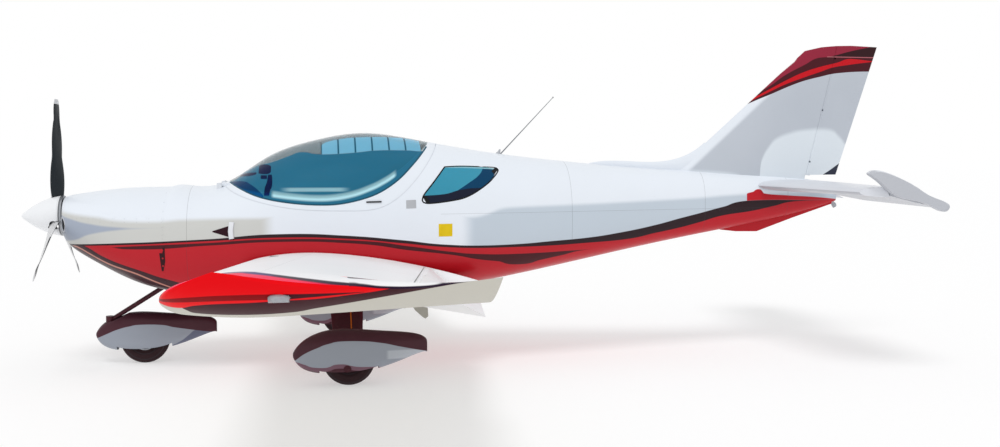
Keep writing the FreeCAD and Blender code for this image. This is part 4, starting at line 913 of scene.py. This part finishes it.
def pad(size, channels):
    """One seat pad about its own centre: the swelled shape of a rounded block."""
    form = bmesh.new()
    bmesh.ops.create_cube(form, size=1.0)
    bmesh.ops.scale(form, vec=size, verts=form.verts)
    bmesh.ops.bevel(form, geom=form.edges[:], offset=0.018, segments=3, affect="EDGES", profile=0.6)
    mesh = bpy.data.meshes.new("pad_form")
    form.to_mesh(mesh)
    form.free()
    obj = bpy.data.objects.new("pad_form", mesh)
    scene.collection.objects.link(obj)
    remesh = obj.modifiers.new("even", "REMESH")
    remesh.mode, remesh.voxel_size = "VOXEL", 0.0095
    depsgraph = bpy.context.evaluated_depsgraph_get()
    even = bpy.data.meshes.new_from_object(obj.evaluated_get(depsgraph))
    obj.modifiers.clear()
    obj.data = even
    rest = [v.co.copy() for v in even.vertices]
    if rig.quick():
        moved = [p * 1.02 for p in rest]
    else:
        cloth = obj.modifiers.new("swell", "CLOTH")
        cloth.settings.use_pressure = True
        cloth.settings.uniform_pressure_force = 4.0
        cloth.settings.effector_weights.gravity = 0.0
        cloth.point_cache.frame_start, cloth.point_cache.frame_end = 1, SWELL_STEPS
        for step in range(1, SWELL_STEPS + 1):
            scene.frame_set(step)
        swelled = bpy.data.meshes.new_from_object(obj.evaluated_get(bpy.context.evaluated_depsgraph_get()))
        scene.frame_set(1)
        moved = [v.co.copy() for v in swelled.vertices]
    half = Vector(size) / 2
    points = []
    for start, end in zip(rest, moved):
        shift = end - start
        if shift.length > SWELL_LIMIT:
            shift *= SWELL_LIMIT / shift.length
        point = start + shift
        if point.z > 0:
            for axis, place in channels:
                width, depth = 0.006, (0.006, 0.007)[axis]
                rise = max(0.0, min(1.0, point.z / half.z))
                point.z -= depth * math.exp(-((point[axis] - place) / width) ** 2) * rise
            point.z += 0.0012 * noise.noise(point * 9.0)
        points.append(point)
    faces = [tuple(p.vertices) for p in even.polygons]
    bpy.data.objects.remove(obj)
    return points, faces


def seat_pads(name, node, size, place, along):
    """Both seats' pads of one kind, as one piece that stands for the node."""
    points, faces = pad(size, [(0, a) for a in along] + [(1, -0.135), (1, 0.135)])
    heap = Heap()
    for _, side in SIDES:
        shift = Matrix.Translation((0, side * SEAT_Y, 0)) @ place
        first = len(heap.points)
        heap.points += [shift @ p for p in points]
        heap.faces += [tuple(first + i for i in face) for face in faces]
    obj = heap.done(name, seat_cloth, "upholstery", stands_for=(node,))
    soften = obj.modifiers.new("soften", "SUBSURF")
    soften.levels = soften.render_levels = 1
    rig.padded(obj, fill=0.75)


seat_pads("seat_cushion_pads", "seat_cushions", (0.492, 0.432, 0.056),
    Matrix.Translation((-0.895, 0, 0.796)), (-0.15, -0.05, 0.05, 0.15))
lean = Matrix.Translation(SEAT_FOOT) @ Matrix.Rotation(LEAN, 4, "Y")
lean = lean @ Matrix.Translation((0.036, 0, 0.322)) @ Matrix.Rotation(math.radians(-90), 4, "Y")
seat_pads("seat_back_pads", "seat_backs", (0.48, 0.412, 0.056), lean, (-0.21, -0.12, -0.03, 0.06, 0.15))

# Harness: two shoulder straps and two lap straps a seat, with buckles
back_way = Vector((math.sin(LEAN), 0, math.cos(LEAN)))
back_out = Vector((-math.cos(LEAN), 0, math.sin(LEAN)))
for name, side in SIDES:
    straps, metal = Heap(), Heap()
    middle = side * SEAT_Y
    for off in (-0.09, 0.09):
        points, normals = [], []
        for share, lift in ((0.59, 0.006), (0.5, 0.018), (0.4, 0.018), (0.3, 0.016), (0.2, 0.016),
                (0.1, 0.02)):
            spread = off * (1.0 if share > 0.4 else share / 0.4 * 0.8 + 0.2)
            points.append(SEAT_FOOT + Vector((0, middle + spread, 0)) + back_way * share + back_out * lift)
            normals.append(back_out)
        points.append((-0.735, middle + off * 0.25, 0.848))
        normals.append(Vector((-0.4, 0, 1)).normalized())
        straps.strip(smooth_line(points, 5), smooth_line(normals, 5), 0.046, 0.0022, 0.001)
    for off in (-0.215, 0.215):
        points = [(-0.672, middle + off, 0.8), (-0.7, middle + off * 0.93, 0.842),
            (-0.735, middle + off * 0.6, 0.846), (-0.752, middle + off * 0.18, 0.85)]
        normals = [(-1, off, 0.3), (-0.3, off, 1), (0, 0, 1), (0, 0, 1)]
        straps.strip(smooth_line(points, 5), smooth_line(normals, 5), 0.044, 0.0022, 0.001)
    metal.block((-0.785, middle - 0.032, 0.846), (-0.728, middle + 0.032, 0.864), 0.004)
    metal.block((-0.772, middle - 0.014, 0.863), (-0.744, middle + 0.014, 0.868), 0.002)
    straps.done("harness_" + name, webbing, "upholstery")
    metal.done("harness_buckle_" + name, steel, "bare_steel")

# Panel: bezels, dark faces with ticks, blank screens, switches and knobs, under a padded shield
panel_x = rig.box("instrument_panel")[1].x
AFT = (1, 0, 0)
bezels, faces, marks = Heap(), Heap(), Heap()
for y, z, radius in ((-0.31, 1.075, 0.04), (-0.31, 0.985, 0.04), (-0.215, 1.03, 0.04), (0.31, 1.075, 0.029),
        (0.31, 1.005, 0.029), (0.31, 0.94, 0.024), (0.235, 0.955, 0.024)):
    bezels.lathe((panel_x, y, z), AFT, [(-0.001, radius + 0.006), (0.004, radius + 0.006),
        (0.006, radius + 0.003), (0.006, radius), (0.003, radius - 0.001)])
    faces.lathe((panel_x, y, z), AFT, [(0.0, radius), (0.0034, radius), (0.0036, radius * 0.1)])
    for tick in range(12):
        turn = 2 * math.pi * tick / 12
        dy, dz = radius * 0.82 * math.sin(turn), radius * 0.82 * math.cos(turn)
        marks.head((panel_x + 0.0036, y + dy, z + dz), AFT, 0.0016, 0.0006)
    needle = [Vector((panel_x + 0.0042, y + radius * a, z + radius * b)) for a, b in ((0, 0), (0.42, 0.5))]
    marks.strip(needle, [Vector(AFT)] * 2, 0.002, 0.0008)
for (y, z), (y_end, z_end) in (((-0.13, 0.965), (0.075, 1.105)), ((0.1, 0.985), (0.235, 1.1))):
    bezels.block((panel_x - 0.002, y - 0.012, z - 0.012), (panel_x + 0.01, y_end + 0.012, z_end + 0.012))
    faces.block((panel_x + 0.006, y, z), (panel_x + 0.0112, y_end, z_end), 0.001)
for count in range(9):
    bezels.lathe((panel_x, -0.36 + count * 0.032, 0.918), AFT,
        [(-0.001, 0.008), (0.003, 0.008), (0.004, 0.006), (0.004, 0.0026), (0.018, 0.0036), (0.02, 0.0018)],
        12)
for y, z, radius in ((-0.02, 0.925, 0.016), (0.04, 0.925, 0.016), (0.1, 0.93, 0.013), (0.16, 0.93, 0.013)):
    bezels.lathe((panel_x, y, z), AFT, [(-0.001, 0.006), (0.022, 0.006), (0.024, radius), (0.036, radius),
        (0.04, radius * 0.7)], 20)
bezels.done("panel_bezels", dark_plastic, "cabin_trim")
faces.done("panel_faces", plain("dial_glass", "#07090B", "#0E1418", 0.12, coat=0.6), "cabin_trim")
marks.done("panel_marks", plain("dial_marks", "#C8CBD0", "#E4E6EA", 0.6), "cabin_trim")

# The shield's rows from front to rear: station, height, and how far its sides hang
rows = []
for x, z, drop in ((-1.842, 1.292, 0.05), (-1.78, 1.262, 0.055), (-1.7, 1.228, 0.06), (-1.62, 1.198, 0.065),
        (-1.545, 1.178, 0.07), (-1.5, 1.166, 0.075), (-1.492, 1.152, 0.078)):
    half = min(-meet((x, 0, z - drop), (0, -1, 0), *HULL)[0].y - 0.012, 0.5)
    bow = 0.05 if x > -1.6 else 0.015
    shares = [step / 8 - 1 for step in range(17)]
    rows.append([Vector((x - bow * s * s, half * s, z - drop * abs(s) ** 3.2)) for s in shares])
shield = Heap()
shield.grid(rows)
shield = shield.done("glare_shield", dark_plastic, "cabin_trim")
thick = shield.modifiers.new("thickness", "SOLIDIFY")
thick.thickness, thick.offset = 0.006, -1.0

# Stick grips, pedals, throttle, trim wheel
for name, side in SIDES:
    grip = Heap()
    foot, head = Vector((-1.24, side * SEAT_Y, 0.585)), Vector((-1.2, side * SEAT_Y, 0.985))
    way = (head - foot).normalized()
    grip.lathe(head - way * 0.115, way, [(0, 0.0145), (0.006, 0.0185), (0.02, 0.0165), (0.04, 0.0185),
        (0.06, 0.0168), (0.08, 0.0185), (0.1, 0.0175), (0.118, 0.021), (0.128, 0.019), (0.133, 0.008)], 24)
    grip.lathe(head + way * 0.018, way + Vector((-0.5, 0, 0)), [(0, 0.007), (0.01, 0.007), (0.012, 0.004)],
        16)
    grip.lathe(foot - way * 0.002, way, [(0, 0.048), (0.012, 0.046), (0.03, 0.036), (0.05, 0.028),
        (0.09, 0.0135)], 24)
    grip.done("stick_grip_" + name, seal, "cabin_trim")
    pedals = Heap()
    middle = side * 0.235
    for off in (-0.085, 0.085):
        y = middle + off
        pedals.block((-1.873, y - 0.042, 0.66), (-1.861, y + 0.042, 0.735), 0.004)
        for rib in range(5):
            low = 0.668 + rib * 0.014
            pedals.block((-1.862, y - 0.038, low), (-1.857, y + 0.038, low + 0.005), 0.001)
        pedals.tube(smooth_line([(-1.868, y, 0.7), (-1.885, y, 0.65), (-1.905, y, 0.6), (-1.905, y, 0.583)],
            4), 0.008)
    pedals.tube([(-1.905, middle - 0.125, 0.594), (-1.905, middle + 0.125, 0.594)], 0.011)
    pedals.done("rudder_pedals_" + name, alloy, "bare_alloy")
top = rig.box("centre_console")[1].z
lever = Heap()
lever.tube([(-1.36, 0, top - 0.01), (-1.385, 0, top + 0.09)], 0.006)
lever.ball((-1.388, 0, top + 0.1), (0.016, 0.02, 0.014))
lever.lathe((-1.22, 0.0, top - 0.02), (0, 1, 0), [(-0.008, 0.044), (-0.006, 0.048), (0.006, 0.048),
    (0.008, 0.044)], 40)
for x in (-1.3, -1.12, -1.06):
    lever.lathe((x, 0, top), (0, 0, 1), [(-0.001, 0.01), (0.004, 0.01), (0.018, 0.007), (0.021, 0.003)], 16)
lever.done("console_levers", dark_plastic, "cabin_trim")

# Glazing seals, sun blind and latches
PANE = [(-1.805, 1.344), (-1.61, 1.257), (-1.426, 1.215), (-1.198, 1.193), (-0.995, 1.201), (-0.778, 1.258),
    (-0.616, 1.353), (-0.484, 1.477), (-0.372, 1.6)]
WINDOW = [(-0.255, 1.454), (-0.13, 1.458), (0.02, 1.452), (0.147, 1.437), (0.09, 1.36), (0.005, 1.297),
    (-0.09, 1.245), (-0.19, 1.217), (-0.397, 1.196), (-0.427, 1.241), (-0.345, 1.345), (-0.255, 1.454)]
pane_seal, window_seal = Heap(), Heap()
for _, side in SIDES:
    for heap, outline, width in ((pane_seal, PANE, 0.011), (window_seal, WINDOW, 0.01)):
        heap.strip(*trace(flank(side), smooth_line(outline, 7)), width, 0.0014)
    for corners in (((-0.43, 1.243), (-0.404, 1.198), (-0.378, 1.204), (-0.402, 1.247)),
            ((0.152, 1.436), (0.124, 1.444), (0.096, 1.418), (0.114, 1.396))):
        window_seal.plate(corners, 0.0008, flank(side), 5)
pane_seal.done("canopy_seal", plain("seal_teal", "#17485C", "#1F5A70", 0.5), "cabin_trim", "canopy")
window_seal.done("window_seals", seal, "cabin_trim")

# The pale rubber that fills the gap round the canopy
SILL = [(-1.872, 1.35), (-1.8, 1.298), (-1.61, 1.222), (-1.42, 1.178), (-1.2, 1.155), (-0.95, 1.15),
    (-0.73, 1.172), (-0.57, 1.27), (-0.43, 1.42), (-0.33, 1.56), (-0.262, 1.68)]
sill_line = smooth_line(SILL, 8)
gap_seal = Heap()
for _, side in SIDES:
    line, normals = [], []
    for before, spot, after in zip(sill_line, sill_line[1:], sill_line[2:]):
        way = (after - before).normalized()
        out = Vector((way.y, -way.x))
        shores, slopes = trace(flank(side), (spot - out * 0.006, spot + out * 0.012))
        if len(shores) == 2:
            normal = (slopes[0] + slopes[1]).normalized()
            line.append((shores[0] + shores[1]) / 2 - normal * 0.0042)
            normals.append(normal)
    gap_seal.strip(line, normals, 0.013, 0.0022)
gap_seal.done("canopy_gap_seal", plain("seal_pale", "#D9DEE6", "#E6EAF0", 0.5), "white_paint")

roof = from_above("canopy_glass", "canopy_frame")
BLIND_FRONT, FOLD_PITCH, FOLDS, ACROSS = -1.145, 0.0244, 30, 14
blind = []
for i in range(FOLDS + 1):
    x = BLIND_FRONT + i * FOLD_PITCH
    half = 0.345 - 0.03 * max(0.0, i - 26) / 4
    sag = 0.024 + (0.004 if i % 2 else 0.0)
    ys = [(2 * j / ACROSS - 1) * half for j in range(ACROSS + 1)]
    blind.append([Vector((x, y, roof(x, y)[0].z - sag)) for y in ys])
shade = Heap()
shade.grid(blind)
shade = shade.done("sun_blind", plain("blind_cloth", "#8AD2EE", "#A4DEF4", 0.85, fine=700.0, peel=0.8),
    "upholstery", "canopy")
middle = [row[ACROSS // 2] for row in blind]
long = sum((b - a).length for a, b in zip(middle, middle[1:]))
wide = sum((b - a).length for a, b in zip(blind[14], blind[14][1:]))
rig.sheet(shade, flat=(wide, long), held="stretched", rests_on=["canopy_frame"])
rods = Heap()
for row in blind[::5]:
    rods.tube([p + Vector((0, 0, -0.002)) for p in row], 0.0055, 8)
for j in (0, ACROSS):
    rods.tube([row[j] + Vector((0, 0, -0.004)) for row in blind], 0.004, 8)
rods.done("blind_rods", plain("blind_edge", "#1A5C76", "#246A84", 0.6), "bare_alloy", "canopy")

latches, scoops, mouth_shadows, grey, yellow, cowl_marks = (Heap() for _ in range(6))
for _, side in SIDES:
    find = flank(side)
    for heap, thick, *corners in (
            (latches, 0.007, (-0.832, 1.204), (-0.725, 1.206), (-0.725, 1.215), (-0.832, 1.213)),
            (grey, 0.0008, (-0.549, 1.16), (-0.478, 1.162), (-0.478, 1.222), (-0.549, 1.22)),
            (yellow, 0.0008, (-0.317, 0.957), (-0.217, 0.957), (-0.217, 1.048), (-0.317, 1.048)),
            # Thin dark plates on the cowl's side by its rear joint
            (cowl_marks, 0.0016, (-2.246, 0.862), (-2.231, 0.862), (-2.23, 0.902), (-2.245, 0.902)),
            (cowl_marks, 0.0016, (-2.262, 0.79), (-2.23, 0.8), (-2.23, 0.862), (-2.268, 0.862)),
            (cowl_marks, 0.0016, (-2.258, 0.732), (-2.246, 0.732), (-2.23, 0.8), (-2.262, 0.79))):
        heap.plate(corners, thick, find)
    # A thin dark plate in each side scoop's mouth is a painted shadow
    mouth_shadows.plate([(-1.903, 1.007), (-1.786, 0.97), (-1.786, 1.05), (-1.903, 1.013)], 0.0012, find, 6)
    heights = (0.958, 0.968, 0.985, 1.01, 1.035, 1.058, 1.073)
    lip = [(-1.773 - 0.004 * math.cos((z - 1.01) * 40), z) for z in heights]
    scoops.strip(*trace(find, lip), 0.036, 0.015)
latches.done("canopy_latches", dark_plastic, "bare_alloy", "canopy")
mouth_shadows.done("side_scoop_mouth_shadows", plain("scoop_shadow", "#24101A", "#34161F", 0.8), "cabin_trim")
scoops.done("side_scoop_lips", plain("lip_white", "#DDE1E8", "#F0F2F6", 0.3, coat=0.2), "white_paint")
grey.done("blank_plates_grey", label_grey, "white_paint")
yellow.done("blank_plates_yellow", label_yellow, "white_paint")
cowl_marks.done("cowl_dark_marks", plain("cowl_mark_dark", "#2A0E14", "#3A141B", 0.5), "red_paint")

# Cowl: quarter-turn fasteners, oil door, inlet lips and screens, exhaust
screws, door = Heap(), Heap()
for _, side in SIDES:
    find = flank(side)
    for count in range(11):
        screws.head(*find(-2.246, 0.66 + count * 0.055), 0.0075, 0.0022)
    for count in range(9):
        screws.head(*find(-2.88 + count * 0.075, 1.104), 0.0065, 0.002)
corners = [(-2.62, 0.1), (-2.44, 0.1), (-2.4, 0.14), (-2.4, 0.27), (-2.44, 0.31), (-2.62, 0.31),
    (-2.66, 0.27), (-2.66, 0.14), (-2.62, 0.1)]
cowl_top = from_above("cowl_upper")
spots = [Vector(a).lerp(Vector(b), step / 5) for a, b in zip(corners, corners[1:]) for step in range(5)]
line, normals = trace(cowl_top, spots)
door.strip(line + line[:1], normals + normals[:1], 0.0035, 0.0007)
for x in (-2.62, -2.44):
    screws.head(*cowl_top(x, 0.295), 0.0085, 0.0022)
screws.done("cowl_screws", cowl_paint, "white_paint")
door.done("oil_door_seam", seal, "cabin_trim")

INLET_Y, INLET_Z, INLET_RADIUS, SCREEN_RADIUS = 0.232, 1.048, 0.05, 0.044
lips, screens = Heap(), Heap()
for _, side in SIDES:
    _, y, z = Vector((0, side * INLET_Y, INLET_Z))
    turns = [2 * math.pi * step / 40 for step in range(41)]
    ring, _ = trace(lambda a, b: meet((-4, a, b), (1, 0, 0), "cowl_upper", "cowl_lower"),
        [(y + INLET_RADIUS * math.cos(turn), z + INLET_RADIUS * math.sin(turn)) for turn in turns])
    lips.tube(ring, 0.0042, 8)
    x = max(p.x for p in ring) + 0.02
    for step in range(-4, 5):
        off = step * 0.01
        reach = math.sqrt(SCREEN_RADIUS ** 2 - off ** 2)
        screens.tube([(x, y + off, z - reach), (x, y + off, z + reach)], 0.0009, 6)
        screens.tube([(x, y - reach, z + off), (x, y + reach, z + off)], 0.0009, 6)
lips.done("inlet_lips", plain("lip_grey", "#B8BBC2", "#D2D5DA", 0.35, coat=0.2), "white_paint")
screens.done("inlet_screens", steel, "bare_steel")
at, _ = meet((-2.13, 0.16, -0.5), (0, 0, 1), "cowl_lower", "fuselage_shell")
pipe = Heap()
pipe.tube(smooth_line([at + Vector(p) for p in ((-0.01, 0, 0.05), (0, 0, 0), (0.02, 0, -0.045),
    (0.075, 0, -0.085))], 6), 0.024, 20)
pipe.done("exhaust_stub", plain("heat_steel", "#4A3A33", "#7A6252", 0.45, 0.85, 30.0), "bare_steel")

# Antenna foot and ball, fuel caps, lamp lenses
foot = Heap()
at, normal = from_above("fuselage_shell")(0.205, 0)
foot.lathe(at, normal + Vector((0.25, 0, 0)), [(-0.006, 0.02), (0.003, 0.019), (0.01, 0.013),
    (0.026, 0.008), (0.036, 0.006)], 24)
foot.done("antenna_foot", label_grey, "white_paint")
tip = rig.box("antenna")[1]
ball = Heap()
ball.ball((tip.x - 0.003, 0, tip.z - 0.003), (0.0055, 0.0055, 0.0055), 8)
ball.done("antenna_ball", steel, "bare_steel")
fuel = Heap()
for _, side in SIDES:
    at, normal = from_above("wing_left", "wing_right")(-1.46, side * 1.12)
    fuel.lathe(at, normal, [(-0.0008, 0.034), (0.0016, 0.034), (0.0022, 0.032), (0.0014, 0.028),
        (0.0026, 0.012), (0.0026, 0.002)], 36)
    bar = [at + Vector((x, 0, 0)) + normal * 0.0014 for x in (-0.024, 0.024)]
    fuel.strip(bar, [normal] * 2, 0.007, 0.004)
fuel.done("fuel_caps", alloy, "bare_alloy")
for name, at, radii, steps in (("tip_lens_left", (-1.317, -4.278, 1.035), (0.044, 0.026, 0.019), 14),
        ("tip_lens_right", (-1.317, 4.278, 1.035), (0.044, 0.026, 0.019), 14),
        ("tail_lens", (2.958, 0, 1.128), (0.02, 0.017, 0.02), 12)):
    lens = Heap()
    lens.ball(at, radii, steps)
    lens.done(name, clear_lens, "clear_glazing")

# Flap hinge brackets under the wing, brake lines down the main legs, axle caps on the spats
brackets, lines, hubs = Heap(), Heap(), Heap()
BRACKET = [(-0.735, 0.803), (-0.671, 0.748), (-0.646, 0.71), (-0.602, 0.67), (-0.589, 0.663),
    (-0.573, 0.676), (-0.576, 0.721), (-0.604, 0.752), (-0.662, 0.778), (-0.668, 0.806)]
for _, side in SIDES:
    brackets.ring_rows([[(x, side * y, z) for x, z in BRACKET] for y in (2.48, 2.5)])
    run, normals = trace(flank(side, "main_gear_legs"), [(-0.949, 0.325 + step * 0.012)
        for step in range(12)])
    lines.tube([at + normal * 0.003 for at, normal in zip(run, normals)], 0.0042, 10)
    at, normal = flank(side, "main_spats")(-0.988, 0.122)
    hubs.lathe(at, normal, [(-0.0008, 0.026), (0.002, 0.026), (0.003, 0.023), (0.0008, 0.021),
        (0.0008, 0.002)], 28)
    hubs.head(at, normal, 0.01, 0.004)
brackets.done("flap_hinge_brackets", plain("bracket_grey", "#A3A098", "#B4B1A9", 0.45), "white_paint")
lines.done("brake_lines", line_orange, "cabin_trim")
hubs.done("axle_caps", leg_paint, "red_paint")

# Floor, backdrop, light
floor = bpy.data.meshes.new("studio_floor")
floor.from_pydata([(-60, -14, 0), (60, -14, 0), (60, 80, 0), (-60, 80, 0)], [], [(0, 1, 2, 3)])
ground = bpy.data.objects.new("studio_floor", floor)
scene.collection.objects.link(ground)
surface = bpy.data.materials.new("pale_floor")
surface.use_nodes = True
tree = surface.node_tree
tree.nodes.clear()
out, add, matt, speck, blend, glow = (tree.nodes.new("ShaderNode" + kind) for kind in ("OutputMaterial",
    "AddShader", "BsdfDiffuse", "TexNoise", "Mix", "Emission"))
speck.inputs["Scale"].default_value = 0.6
blend.data_type = "RGBA"
blend.inputs[6].default_value, blend.inputs[7].default_value = (0.54, 0.54, 0.54, 1), (0.56, 0.56, 0.565, 1)
glow.inputs["Strength"].default_value = 0.48
for result, target in ((speck.outputs[0], blend.inputs[0]), (blend.outputs[2], matt.inputs["Color"]),
        (matt.outputs[0], add.inputs[0]), (glow.outputs[0], add.inputs[1]),
        (add.outputs[0], out.inputs[0])):
    tree.links.new(result, target)
floor.materials.append(surface)
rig.stage(ground)

# The air is a little dimmer as a light than where it is seen, mirrored or looked through
world = bpy.data.worlds.new("studio_air")
scene.world = world
world.use_nodes = True
tree = world.node_tree
rays = tree.nodes.new("ShaderNodeLightPath").outputs
seen = rays["Is Camera Ray"]
for kind in ("Is Transmission Ray", "Is Glossy Ray"):
    either = tree.nodes.new("ShaderNodeMath")
    either.operation = "MAXIMUM"
    tree.links.new(seen, either.inputs[0])
    tree.links.new(rays[kind], either.inputs[1])
    seen = either.outputs[0]
level = tree.nodes.new("ShaderNodeMapRange")
level.inputs["To Min"].default_value, level.inputs["To Max"].default_value = 0.62, 1.0
sky = tree.nodes["Background"].inputs
tree.links.new(seen, level.inputs["Value"])
tree.links.new(level.outputs[0], sky["Strength"])
sky["Color"].default_value = (1.0, 1.0, 1.0, 1.0)


def sun(name, toward, strength, spread):
    lamp = bpy.data.lights.new(name, "SUN")
    lamp.energy, lamp.angle = strength, math.radians(spread)
    obj = bpy.data.objects.new(name, lamp)
    obj.rotation_euler = Vector(toward).to_track_quat("-Z", "Y").to_euler()
    obj.visible_glossy = False
    scene.collection.objects.link(obj)


sun("key_light", (0.2, 0.5, -1.0), 1.1, 24)
sun("fill_light", (0.05, 1.0, -0.2), 0.2, 50)

view = bpy.data.cameras.new("photo_view")
view.lens, view.sensor_width = 41.4, 36.0
view.clip_end = 300.0
camera = bpy.data.objects.new("photo_view", view)
camera.location = (-1.156, -8.78, 1.635)
yaw, pitch = math.radians(8.896), math.radians(4.054)
aim = Vector((math.sin(yaw) * math.cos(pitch), math.cos(yaw) * math.cos(pitch), -math.sin(pitch)))
camera.rotation_euler = aim.to_track_quat("-Z", "Y").to_euler()
scene.collection.objects.link(camera)
scene.camera = camera
scene.view_settings.view_transform = "Standard"

seen_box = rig.bounds()
with open("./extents.json", "w") as out_file:
    json.dump({"cad": [list(map(float, c)) for c in cad_box],
               "visual": [list(map(float, c)) for c in seen_box]}, out_file)
